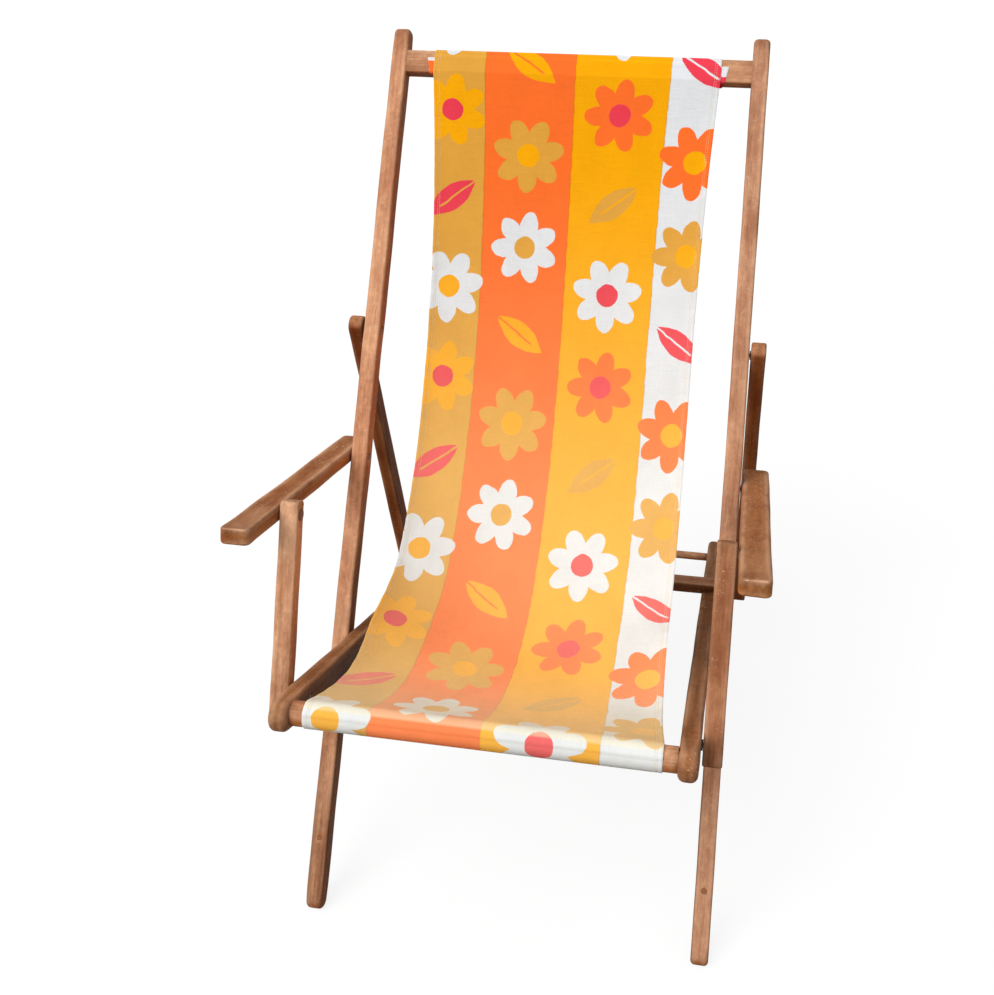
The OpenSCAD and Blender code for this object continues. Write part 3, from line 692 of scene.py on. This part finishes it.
# The prop
# Two bars behind the main rails and the crossbar between them, which rests in a pair of notches and
# holds the chair open. This wood lies in the shade of the canvas; its dark tone is partly kept oil and
# partly painted shade.
prop_head, prop_tail, prop_depth, prop_edge, cross_edge = 0.020, 0.022, 0.029, 0.0030, 0.0022
prop_length = prop_head + np.linalg.norm(cross_middle - prop_pivot) + prop_tail
# the prop's dark tone is partly painted shade
prop_wood = wood_finish("prop_wood", (-prop_angle, 0, 0), (208, 146, 102), (134, 70, 22), 0.4)
for hand, sign in sides:
    _, points, faces, values = side_bar(
        f"prop_rail_{hand}", sign, prop_pivot, prop_head, prop_angle, prop_length, prop_depth,
        (prop_depth / 2, prop_depth / 2), prop_edge, seed=31)
    darken_joints(points, values, (cross_middle,))
    bar = cut_away((points, faces, values), [head_recess(prop_pivot, prop_out, sign, thin_bolt)])
    install(f"{hand}_prop_rail", bar, prop_wood, "prop", f"prop_rail_{hand}")

lock_wood = wood_finish("prop_cross_wood", (0, 0, right_angle), (184, 132, 99), (136, 82, 44), 0.6)
lock_bar = cross_bar(cross_middle, prop_in + tenon, cross_height, cross_thick, cross_edge, prop_angle, 12)
install("prop_cross_rail", lock_bar, lock_wood, "prop", "prop_crossbar")

# The armrests
# Flat wide bars with rounded corners, bolted to the outside of the main rails. Hands and rain have
# worn their tops dark and dull, with pale bruises along the edges.
arm_angle = slope(arm_pivot, head_pivot)
arm_rear, arm_front, arm_thick = 0.070, 0.099, 0.021
arm_length = arm_rear + np.linalg.norm(head_pivot - arm_pivot) + arm_front
arm_corner, arm_edge, arm_end_edge, arm_end_reach = 0.0085, 0.0050, 0.0036, 0.016
arm_forward, arm_upwards = direction(arm_angle), direction(arm_angle - right_angle)
arm_tones = ((168, 112, 70), (216, 136, 64))
arm_woods = {"left": wood_finish("left_armrest_wood", (-arm_angle, 0, 0), *arm_tones, 1.5, 0.5),
             "right": wood_finish("right_armrest_wood", (-arm_angle, 0, 0), *arm_tones, 1.0, 0.35)}
# the end faces' rims are rubbed to bare wood: how far in from the edges, and how wide
rim_in, rim_wide, rim_high, rim_rubbed = 0.0010, 0.0014, 0.0016, 1.9
# hands have rubbed the front, and the face beside the main rail gets a painted shade, dark as the gap
# between them
hand_rubbed, hand_reach, hand_start, hand_fade = {"left": 0.90, "right": 0.40}, 0.12, 0.002, 0.004
gap_shade_depth, gap_shade_skin = 0.8, 0.003
for hand, sign in sides:
    inner, outer = layer(f"armrest_{hand}")
    points, faces, values = plank(arm_length, outer - inner, arm_thick, (arm_corner, arm_corner), arm_edge,
                                  arm_end_edge, arm_end_reach, seed=41 + sign)
    start = arm_pivot - arm_forward * arm_rear - arm_upwards * arm_thick / 2
    start = start + to_side(sign * (inner + outer) / 2)
    points = set_out(points, start, arm_forward, to_side(sign), arm_upwards)
    darken_joints(points, values, (head_pivot,), 0.010)
    forward = (points - arm_pivot) @ arm_forward + arm_rear
    off_end = arm_length / 2 - np.abs(forward - arm_length / 2)
    high = (points - start) @ arm_upwards
    at_rim = bell(off_end - rim_in, rim_wide) * bell(high - arm_thick + rim_in, rim_high)
    handled = hand_rubbed[hand] * (1 - ramp(arm_length - forward, hand_reach))
    handled = handled * ramp(off_end - hand_start, hand_fade)
    # painted shade on the inner face, beside the main rail
    gap_shade = gap_shade_depth * (1 - ramp(np.abs(points[:, 0]) - inner, gap_shade_skin))
    values["grime_and_shade"] = np.maximum(values["grime_and_shade"] * (1 - at_rim), gap_shade)
    values["edge"] = np.maximum.reduce([values["edge"], rim_rubbed * at_rim, handled])
    bar = cut_away((points, faces, values), [head_recess(arm_pivot, arm_out, sign, thin_bolt)])
    install(f"{hand}_armrest", bar, arm_woods[hand], f"arm_{hand}", f"armrest_{hand}")


# The arm posts
# Short square bars between seat rails and armrests, inside the armrests and outside the seat rails,
# cut square at the ends with the corners eased.
post_angle = slope(post_pivot, head_pivot)
post_foot, post_head, post_depth, post_edge, post_corners = 0.023, 0.017, 0.022, 0.0024, (0.004, 0.005)
post_length = post_foot + np.linalg.norm(head_pivot - post_pivot) + post_head
post_turn = (-post_angle, 0, 0)
post_woods = {"left": wood_finish("left_post_wood", post_turn, (240, 188, 148), (234, 176, 132), 0.8),
              "right": wood_finish("right_post_wood", post_turn, (178, 123, 87), (169, 114, 76), 0.8)}
low_grime, low_height, low_fade = {"left": 0.52, "right": 0.0}, 0.560, 0.14
for hand, sign in sides:
    _, points, faces, values = side_bar(f"arm_post_{hand}", sign, post_pivot, post_foot, post_angle,
                                        post_length, post_depth, post_corners, post_edge, seed=51)
    darken_joints(points, values, (post_pivot,))
    low_down = low_grime[hand] * ramp(low_height - points[:, 2], low_fade)
    values["grime_and_shade"] = np.maximum(values["grime_and_shade"], low_down)
    bar = cut_away((points, faces, values), [head_recess(post_pivot, post_out, sign, thin_bolt)])
    install(f"{hand}_arm_post", bar, post_woods[hand], f"post_{hand}", f"arm_post_{hand}")


# The bolts, nuts, washers and screws
# Flat-headed bolts sunk into the outer faces, their washers and hexagon nuts sunk into round holes in the
# inner faces, and a loose washer between the woods. The steel has gone brown with rust and wood oil.
steel = bpy.data.materials.new("rusted_steel")
rusted = empty_tree(steel)
steel_place = add_node(rusted, "TexCoord").outputs["Object"]
bloom = noise(rusted, steel_place, (420, 420, 420), 4.0, 0.6)
rust = fade(rusted, noise(rusted, steel_place, (260, 260, 260), 3.0, 0.6), 0.36, 0.60)
bare_steel = mix(rusted, bloom, linear(92, 66, 46), linear(138, 112, 90))
surface(rusted, {"Base Color": mix(rusted, times(rusted, rust, 0.85), bare_steel, linear(92, 54, 30)),
                 "Metallic": fade(rusted, rust, 0.2, 1.0, 0.6, 0.05),
                 "Roughness": fade(rusted, bloom, 0.3, 0.7, 0.45, 0.7)}, bloom, 0.5, 0.0003)

washer_thick, washer_play, washer_bevel, loose_spread = 0.0012, 0.0003, 0.00025, 2.2
nut_height, nut_bevel, nut_chamfer, bolt_bevel = 0.0045, 0.0006, 0.92, 0.0006
head_bevel, head_round = 0.0005, (0.0002, 0.0001)
# Each joint: axis, body of its bolt, bolt radius, face that its nut is sunk into, face of its head, and
# the gap that the loose washer fills
pivots = {
    "seat_pivot": (seat_pivot, "seat_frame", seat_bolt, seat_in, main_out, (seat_out, main_in)),
    "prop_pivot": (prop_pivot, "main_frame", thin_bolt, main_in, prop_out, (main_out, prop_in)),
    "arm_pivot": (arm_pivot, "main_frame", thin_bolt, main_in, arm_out, (main_out, arm_in)),
    "post_pivot": (post_pivot, "seat_frame", thin_bolt, seat_in, post_out, (seat_out, post_in)),
}


def hexagon(corner_radius):
    """The distance from a hexagon's middle to its side at each angle: the flat's distance over the cosine
    of the angle from that flat's middle."""
    flat = corner_radius * math.cos(math.pi / 6)
    return lambda angle: flat / np.cos(np.mod(angle, math.pi / 3) - math.pi / 6)


def ring_profile(start, end, bore, rim):
    """Closed section of a flat ring with its outer corners eased."""
    low, high, shoulder = start + washer_bevel, end - washer_bevel, rim - washer_bevel
    return [(start, bore), (start, shoulder), (low, rim), (high, rim), (end, shoulder), (end, bore),
            (start, bore)]


def both_sides(profile, centre, segments=36, limit=None):
    """A profile turned round a joint's axis on the left and on the right, as (points, faces)."""
    return joined([turned(profile, centre, to_side(sign), segments, limit) for _, sign in sides])


for name, (centre, body, radius, nut_face, head_face, gap) in pivots.items():
    flat, rim = head_face - head_sunk, head_spread * radius
    neck = flat - (head_spread - 1) * radius
    tip, under_face = nut_face + head_sunk, nut_face + nut_sunk
    bolt = [(flat, 0), (flat, rim - head_bevel), (flat - head_round[0], rim - head_round[1]), (neck, radius),
            (tip + bolt_bevel, radius), (tip, radius - bolt_bevel), (tip, 0)]
    corner, nut_end = nut_corner * radius, under_face - washer_thick
    nut_in = nut_end - nut_height
    nut = [(nut_in, radius), (nut_in, nut_chamfer * corner), (nut_in + nut_bevel, corner),
           (nut_end, corner), (nut_end, radius), (nut_in, radius)]
    loose = ring_profile(gap[0] + washer_play, gap[1] - washer_play, radius, loose_spread * radius)
    under = ring_profile(nut_end, under_face, radius, corner)
    for kind, shape in (("bolts", both_sides(bolt, centre)),
                        ("nuts", both_sides(nut, centre, 48, hexagon(corner))),
                        ("washers", joined([both_sides(ring, centre) for ring in (loose, under)]))):
        install(f"{name}_steel_{kind}", make_mesh(kind, *shape), steel, body, f"{name}_{kind}", 30)

screw_radius, screw_head, screw_bite, screw_dome, screw_point = 0.0030, 0.0078, 0.023, 0.0015, 0.004
seat_at, shoulder = post_in - washer_play, post_out + washer_play
screw = [(seat_at - screw_dome * math.cos(a), screw_head * math.sin(a))
         for a in np.radians(np.linspace(0, 90, 9))]
screw += [(seat_at, screw_radius), (shoulder, screw_radius), (shoulder, screw_head), (arm_in, screw_head),
          (arm_in, screw_radius), (arm_in + screw_bite - screw_point, screw_radius),
          (arm_in + screw_bite, 0)]
for hand, sign in sides:
    mesh = make_mesh("screw", *turned(screw, head_pivot, to_side(sign), 36))
    install(f"{hand}_arm_screw", mesh, steel, f"arm_{hand}", f"arm_screw_{hand}", 30)


# The canvas sling
# One length of printed cotton canvas, hemmed along both sides, wrapped once round the top rail and once
# round the front rail with its ends caught under the outer turn. It hangs between them in a loose curve.
cloth_half, cloth_neck, cloth_thick = 0.215, 0.015, 0.0010
first_layer, second_layer = 0.0009, 0.0024
sag_turn, sag_back, sag_rise, sag_seat = math.radians(15.9), 0.530, math.radians(34.5), 0.380
edge_lift, seat_lift, seat_spot, seat_spread = 0.011, 0.028, 0.76, 0.09
hem_width, stitch_rows, stitch_dimple, dimple_reach = 0.0105, (0.0062, 0.0090), 0.00028, 0.0009
hem_fold, rim_reach = 0.00035, 0.0008
# where the outer turn steps over the inner turn's end on the top rail, and how steeply
step_below, step_long, inner_reach, inner_wider = 0.006, 0.005, 0.055, 0.011
# round the front rail, in degrees: the canvas's whole turn, and where and over how much it drops onto the
# rail past its own end
roll_turn, drop_at, drop_over = 440, 80, 18
curl_high, pucker_high, wave_high, pull_high, slow_high = 0.0030, 0.0005, 0.0011, 0.0007, 0.0010
curl_reach, pucker_reach, wave_reach, pull_reach = 0.011, 0.012, 0.030, 0.05


def smooth(step):
    """A share from 0 to 1 that starts and ends slowly."""
    return step ** 2 * (3 - 2 * step)


def arc_points(centre, start, turn, radius, count):
    """Points round a centre in the side plane, from the start angle on through the turn."""
    return centre + radius * direction(start + turn * np.linspace(0, 1, count))


def top_corner(up, forward):
    """Middle of one rounded corner of the top rail."""
    return top_middle + main_up * up * flat_half + main_forward * forward * (top_thick / 2 - top_edge)


wrap_low, wrap_high = top_edge + first_layer, top_edge + second_layer
flat_half, end_height = top_height / 2 - top_edge, top_height / 6
start_point = top_middle + main_up * end_height + main_forward * (top_thick / 2 + first_layer)
# down the top rail's front face the outer turn passes over the inner turn's end, with a small step
face_run = np.linspace(flat_half, -flat_half, 30)
face_step = smooth(ramp(end_height + step_below - face_run, step_long))
face_lift = top_thick / 2 + (first_layer + (second_layer - first_layer) * face_step)
face_points = top_middle + face_run[:, None] * main_up + face_lift[:, None] * main_forward
corners = [arc_points(top_corner(up, forward), main_angle + turns * right_angle, right_angle, wrap_low, 7)
           for turns, up, forward in ((1, -1, 1), (2, -1, -1), (3, 1, -1), (0, 1, 1))]
top_turns = np.concatenate([
    np.linspace(start_point, start_point - main_up * (end_height + flat_half), 6)[:-1],
    *corners, face_points[1:],
    arc_points(top_corner(-1, 1), main_angle + right_angle, sag_turn, wrap_high, 4)[1:]])
rise = math.pi - sag_rise
reach_front = front_middle + direction(rise - right_angle) * (front_radius + second_layer)
hang = (top_turns[-1], top_turns[-1] + direction(main_angle + math.pi + sag_turn) * sag_back,
        reach_front - direction(rise) * sag_seat, reach_front)
hang_count = 190
t = np.linspace(0, 1, hang_count + 1)[1:, None]
pulls = ((1 - t) ** 3, 3 * (1 - t) ** 2 * t, 3 * (1 - t) * t * t, t ** 3)
hanging = sum(share * point for share, point in zip(pulls, hang))
roll = np.radians(np.linspace(0, roll_turn, 111))[1:]
roll_drop = smooth(ramp(roll - math.radians(drop_at), math.radians(drop_over)))
roll_lift = second_layer + (first_layer - second_layer) * roll_drop
front_turns = front_middle + (front_radius + roll_lift)[:, None] * direction(rise - right_angle + roll)
path = np.concatenate([top_turns, hanging, front_turns])
along = np.concatenate([[0.0], np.cumsum(np.linalg.norm(np.diff(path, axis=0), axis=1))])
hang_first = len(top_turns) - 1
free = np.clip((np.arange(len(path)) - hang_first) / hang_count, 0, 1)
slack = 1 - (2 * free - 1) ** 4
tangent = np.gradient(path, axis=0)
tangent = tangent / np.linalg.norm(tangent, axis=1, keepdims=True)
outwards = np.stack([0 * free, tangent[:, 2], -tangent[:, 1]], axis=-1)
hang_start, hang_end = along[hang_first], along[hang_first + hang_count]
inner_turn = 1 - ramp(along, inner_reach)


def relief_of(v, x, loose, fall):
    """Height of the cloth over its middle's course: its edges hang higher, most over the seat, as a bell
    curve of fall. To that come a curl and puckers at the hems, faint pulls below the top rail, slow
    unevenness, and a valley along each row of stitches. v runs along the cloth, x across it, loose is 0 on
    the rails and 1 in the middle of the hang, and fall goes from 0 at the top of the hang to 1 in front.
    The numbers that v and x are multiplied by are the waves' radians per metre."""
    off_edge, hand, part = cloth_half - np.abs(x), np.sign(x), np.sqrt(loose)
    rise_here = edge_lift + seat_lift * bell(fall - seat_spot, seat_spread)
    trough = loose * rise_here * (np.abs(x) / cloth_half) ** 2
    curl = curl_high * loose * bell(off_edge, curl_reach)
    pucker = pucker_high * part * bell(off_edge, pucker_reach)
    pucker = pucker * np.sin(v * 210 + 2.2 * np.sin(v * 31 + hand) + hand)
    wave = wave_high * loose * bell(off_edge, wave_reach) * np.sin(v * 44 + 1.7 * np.sin(v * 13) + 2 * hand)
    below_top = np.exp(-np.maximum(v - hang_start, 0) / pull_reach)
    pull = pull_high * below_top * part * np.sin(x * 260 + 2 * np.sin(x * 47))
    slow = np.sin(v * 17 + x * 9) * np.sin(x * 23 + 1.0) + 0.6 * np.sin(v * 29 - x * 16 + 2.0)
    valley = sum(bell(off_edge - row, dimple_reach) for row in stitch_rows)
    return trough + curl + pucker + wave + pull + slow_high * loose * slow - stitch_dimple * valley


def cloth_points(rows, x, lift):
    """Points of the cloth at some rows of its path and places x across the flat cloth. The cloth's width
    draws in between the rails and is full on them; lift is the height over the cloth's middle."""
    rows = rows[:, None]
    low = np.clip(np.floor(rows).astype(int), 0, len(path) - 2)
    part = rows - low

    def between(values, part):
        return values[low] * (1 - part) + values[low + 1] * part

    course, front = between(path, part[..., None]), between(outwards, part[..., None])
    loose, v, fall = between(slack, part), between(along, part), between(free, part)
    width = (cloth_half + inner_turn[low] * inner_wider - cloth_neck * loose) / cloth_half
    points = course + (lift + relief_of(v, x, loose, fall))[..., None] * front
    points[..., 0] = x * width
    return points, v


hem_places = np.array([0, 0.0008, 0.0025, 0.0045, 0.0055, 0.0062, 0.0069, 0.0076, 0.0083, 0.0090, 0.0097,
                       0.0108, 0.0125, 0.016, 0.022, 0.030])
middle_places = np.linspace(-(cloth_half - 0.040), cloth_half - 0.040, 34)
columns = np.concatenate([-cloth_half + hem_places, middle_places, cloth_half - hem_places[::-1]])
row_numbers = np.arange(len(path), dtype=float)
from_side = cloth_half - np.abs(columns)
in_hem = ramp(hem_width - from_side, rim_reach)
rim = ramp(from_side, rim_reach) ** 0.5
half_thick = cloth_thick / 2
face_side, cloth_v = cloth_points(row_numbers, columns, half_thick * rim)
back_side, _ = cloth_points(row_numbers, columns, -(half_thick + hem_fold * in_hem) * rim)
size_v, size_x = len(path), len(columns)
shell = np.concatenate([face_side, back_side[:, ::-1]], axis=1)
shell_values = {"cloth_x": np.concatenate([columns, columns[::-1]]), "cloth_v": cloth_v,
                "reverse": np.repeat([0.0, 1.0], size_x)}
cap = np.arange(size_x - 1)
caps = np.stack([cap + 1, cap, 2 * size_x - 1 - cap, 2 * size_x - 2 - cap], axis=-1)
last = (size_v - 1) * 2 * size_x
shell_faces = np.concatenate([grid_faces(size_v, 2 * size_x), caps, caps[:, ::-1] + last])
cloth_mesh = make_mesh("cloth", shell.reshape(-1, 3), shell_faces, {
    label: np.broadcast_to(value, shell.shape[:2]).ravel() for label, value in shell_values.items()})


# The print: four lengthwise stripes with plain daisies and leaves scattered in a half-drop repeat
def wrapped(tree, cloth, centre, repeat):
    """Distance across and along from a motif's centre to a point, the motif repeated along the cloth."""
    parts = add_node(tree, "SeparateXYZ", {0: vector_calc(tree, "SUBTRACT", cloth, centre)}).outputs
    half = times(tree, repeat, 0.5)
    return parts[0], calc(tree, "WRAP", parts[1], half, times(tree, half, -1.0))


placed = {"Cloth": "Vector", "Centre": "Vector", "Repeat": "Float", "Turn": "Float"}
daisy, given, result = new_group("daisy", {**placed, "Radius": "Float"}, {"Petals": "Float", "Eye": "Float"})
# a petal is an ellipse: its middle's distance from the daisy's, half its length and half its width
petal_half_angle, petal_out, petal_half, petal_width = math.pi / 7, 0.58, 0.42, 0.265
across, down = wrapped(daisy, given["Cloth"], given["Centre"], given["Repeat"])
away = calc(daisy, "DIVIDE", diagonal(daisy, across, down), given["Radius"])
bearing = calc(daisy, "ADD", calc(daisy, "ARCTAN2", down, across), given["Turn"])
within = calc(daisy, "WRAP", bearing, petal_half_angle, -petal_half_angle)
petal_long = calc(daisy, "MULTIPLY_ADD", away, calc(daisy, "COSINE", within), -petal_out)
petal_long = calc(daisy, "DIVIDE", petal_long, petal_half)
petal_wide = calc(daisy, "DIVIDE", times(daisy, away, calc(daisy, "SINE", within)), petal_width)
petal = calc(daisy, "MULTIPLY_ADD", petal_long, petal_long, times(daisy, petal_wide, petal_wide))
daisy.links.new(fade(daisy, petal, 0.94, 1.06, 1.0, 0.0), result["Petals"])
daisy.links.new(fade(daisy, away, 0.300, 0.315, 1.0, 0.0), result["Eye"])

leaf, given, result = new_group("leaf", {**placed, "Length": "Float"}, {"Leaf": "Float"})
across, down = wrapped(leaf, given["Cloth"], given["Centre"], given["Repeat"])
cosine, sine = calc(leaf, "COSINE", given["Turn"]), calc(leaf, "SINE", given["Turn"])
lengthwise = calc(leaf, "MULTIPLY_ADD", across, cosine, times(leaf, down, sine))
lengthwise = calc(leaf, "DIVIDE", lengthwise, given["Length"])
sideways = calc(leaf, "SUBTRACT", times(leaf, down, cosine), times(leaf, across, sine))
from_rib = calc(leaf, "ABSOLUTE", calc(leaf, "DIVIDE", sideways, given["Length"]))
blade = calc(leaf, "MULTIPLY_ADD", times(leaf, lengthwise, lengthwise), -0.40, 0.40)
blade = fade(leaf, calc(leaf, "SUBTRACT", blade, from_rib), -0.012, 0.012)
rib = times(leaf, fade(leaf, from_rib, 0.022, 0.040, 1.0, 0.0), fade(leaf, lengthwise, 0.45, 0.60, 1.0, 0.0))
leaf.links.new(times(leaf, blade, calc(leaf, "SUBTRACT", 1.0, rib)), result["Leaf"])

# Plain weave: threads over and under each other, with thicker slubs here and there in both directions
thread_waves = 4600.0
weave, given, result = new_group("plain_weave", {"Cloth": "Vector"},
                                 {"Shade": "Float", "Height": "Float", "Fleck": "Float"})
cloth = given["Cloth"]
threads = vector_calc(weave, "MULTIPLY", cloth, (thread_waves, thread_waves, 0.0))
threads = add_node(weave, "SeparateXYZ", {0: threads}).outputs
over_under = times(weave, calc(weave, "SINE", threads[0]), calc(weave, "SINE", threads[1]))
slubs = calc(weave, "ADD", *(fade(weave, noise(weave, cloth, stretch, 3.0, 0.6), 0.30, 0.75, -1.0, 1.0)
                             for stretch in ((800, 36, 1), (36, 800, 1))))
washed = fade(weave, noise(weave, cloth, (22, 14, 1), 4.0, 0.6), 0.3, 0.7, -0.03, 0.03)
rumple = noise(weave, cloth, (46, 120, 1), 3.0, 0.55)
threads_up = calc(weave, "MULTIPLY_ADD", slubs, 0.26, times(weave, over_under, 0.20))
fleck = fade(weave, noise(weave, cloth, (420, 420, 1), 2.0, 0.5), 0.72, 0.76)
weave.links.new(calc(weave, "ADD", calc(weave, "MULTIPLY_ADD", slubs, 0.022, 1.0), washed), result["Shade"])
weave.links.new(calc(weave, "MULTIPLY_ADD", rumple, 3.2, threads_up), result["Height"])
weave.links.new(fleck, result["Fleck"])

tan, orange, yellow = linear(221, 160, 62), linear(250, 112, 42), linear(244, 168, 0)
white, pink = linear(222, 225, 228), linear(231, 62, 80)
stripes = (tan, orange, yellow, white)
stripe_edges, stripe_blur = (-0.135, 0.002, 0.143), 0.0004
overlap, overlap_ink = 0.0014, linear(196, 148, 70)
# For each stripe: its middle, the start of its repeat, petals and eyes of its two daisies, its leaf and
# the leaf's turn
motifs = (
    (-0.186, 0.060, (white, yellow), (yellow, pink), pink, 2.5),
    (-0.066, 0.262, (tan, yellow), (white, tan), yellow, 0.6),
    (0.072, 0.060, (white, pink), (orange, pink), tan, 2.5),
    (0.192, 0.262, (orange, yellow), (tan, yellow), pink, 0.6),
)
repeat, second_at, leaf_at, leaf_length = 0.405, 0.138, 0.270, 0.046
canvas = bpy.data.materials.new("printed_canvas")
dye = empty_tree(canvas)
across_cloth, along_cloth, reverse = (stored(dye, label) for label in ("cloth_x", "cloth_v", "reverse"))
cloth_place = add_node(dye, "CombineXYZ", {0: across_cloth, 1: along_cloth}).outputs[0]
# the ink's edges wander by up to 2 mm
wobble = add_node(dye, "TexNoise", {"Vector": cloth_place, "Scale": 60.0, "Detail": 2.0}).outputs[1]
wobble = vector_calc(dye, "SUBTRACT", wobble, (0.5, 0.5, 0.5))
inked = vector_calc(dye, "ADD", cloth_place, vector_calc(dye, "MULTIPLY", wobble, (0.004, 0.004, 0.0)))
inked_x = add_node(dye, "SeparateXYZ", {0: inked}).outputs[0]
ink = stripes[0]
for edge, colour in zip(stripe_edges, stripes[1:]):
    ink = mix(dye, fade(dye, inked_x, edge - stripe_blur, edge + stripe_blur), ink, colour)
    # the two inks overlap a little
    beside = calc(dye, "ABSOLUTE", calc(dye, "SUBTRACT", inked_x, edge))
    ink = mix(dye, fade(dye, beside, stripe_blur, overlap, 0.35, 0.0), ink, overlap_ink, "MULTIPLY")
for place, start, first, second, leaf_tone, leaf_turn in motifs:
    for petals, eye, at, turn, radius in ((*first, 0.0, 0.2, 0.056), (*second, second_at, 0.5, 0.054)):
        motif = add_node(dye, "Group", {"Cloth": inked, "Centre": (place, start + at, 0), "Repeat": repeat,
                                        "Turn": turn, "Radius": radius}, node_tree=daisy).outputs
        ink = mix(dye, motif["Petals"], ink, petals)
        ink = mix(dye, motif["Eye"], ink, eye)
    motif = add_node(dye, "Group", {"Cloth": inked, "Centre": (place, start + leaf_at, 0), "Repeat": repeat,
                                    "Turn": leaf_turn, "Length": leaf_length}, node_tree=leaf).outputs
    ink = mix(dye, motif["Leaf"], ink, leaf_tone)
# where the inner turn on the top rail peeks out it shows other parts of the print
on_left = fade(dye, across_cloth, -0.001, 0.001, 1.0, 0.0)
left_tone = mix(dye, fade(dye, along_cloth, 0.0045, 0.0055), white, orange)
right_tone = mix(dye, fade(dye, along_cloth, 0.0150, 0.0160), white, pink)
ink = mix(dye, fade(dye, along_cloth, 0.050, 0.052, 1.0, 0.0), ink, mix(dye, on_left, right_tone, left_tone))
# sun and use have paled the hanging part, most of all the seat, down to a line along the front rail
faded = calc(dye, "ADD", fade(dye, along_cloth, hang_start + 0.1, hang_end - 0.30, 0.0, 0.16),
             fade(dye, along_cloth, hang_end - 0.22, hang_end, 0.0, 0.30))
faded = times(dye, faded, fade(dye, along_cloth, hang_end + 0.0155, hang_end + 0.0200, 1.0, 0.25))
ink = mix(dye, faded, ink, linear(250, 240, 196))
# the reverse shows the print as a stain in bare cotton
ink = mix(dye, times(dye, reverse, 0.55), ink, linear(236, 230, 218))
woven = add_node(dye, "Group", {"Cloth": cloth_place}, node_tree=weave).outputs
ink = mix(dye, 1.0, ink, add_node(dye, "CombineXYZ", {part: woven["Shade"] for part in range(3)}).outputs[0],
          "MULTIPLY")
ink = mix(dye, times(dye, woven["Fleck"], 0.25), ink, linear(120, 92, 60))
surface(dye, {"Base Color": ink, "Roughness": 0.85, "Specular IOR Level": 0.10}, woven["Height"],
        0.45, 0.0004)
sling = finish_piece("canvas_sheet", cloth_mesh, canvas, 60)
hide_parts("sling")

# The hem stitches
# Two rows of cotton lockstitch down each hem. Each stitch is a short rounded bar of thread that lies in
# its dimple in the canvas, down the hang and round both rails.
stitch_pitch, stitch_long, stitch_radius, stitch_up = 0.0034, 0.0026, 0.00026, 0.00012
stitches_rows_back, stitches_roll = 8, 240
first_stitch = along[len(top_turns) - len(face_points) - stitches_rows_back]
last_stitch = hang_end + math.radians(stitches_roll) * (front_radius + first_layer)
stitch_v = np.arange(first_stitch, last_stitch, stitch_pitch)
bar_along = np.array([-0.5, -0.42, 0.0, 0.42, 0.5]) * stitch_long
bar_radius = np.array([0.0, 0.8, 1.0, 0.8, 0.0])[:, None] * stitch_radius
bar_angle = np.linspace(0, 2 * math.pi, 5, endpoint=False)
stitch_rings = np.interp(stitch_v[:, None] + bar_along, along, row_numbers)[..., None]
bar_size = len(bar_along) * len(bar_angle)
row_faces = grid_faces(len(bar_along), len(bar_angle)) + bar_size * np.arange(len(stitch_v))[:, None, None]
stitch_lift = half_thick + stitch_up + bar_radius * np.sin(bar_angle)
stitch_parts = []
for _, sign in sides:
    for row in stitch_rows:
        stitch_x = sign * (cloth_half - row) + bar_radius * np.cos(bar_angle)
        places = np.broadcast_arrays(stitch_rings, stitch_x, stitch_lift)
        rings, x, lift = (place.ravel() for place in places)
        points, _ = cloth_points(rings, x[:, None], lift[:, None])
        stitch_parts.append((points.reshape(-1, 3), row_faces.reshape(-1, 4)))
thread = bpy.data.materials.new("cotton_thread")
twist = empty_tree(thread)
thread_bloom = noise(twist, add_node(twist, "TexCoord").outputs["Object"], (300, 300, 300), 2.0)
thread_tone = mix(twist, thread_bloom, linear(214, 190, 146), linear(236, 222, 190))
surface(twist, {"Base Color": thread_tone, "Roughness": 0.8})
stitches = finish_piece("hem_stitches", make_mesh("stitches", *joined(stitch_parts)), thread, 80)

for soft in (sling, stitches):
    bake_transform(soft)
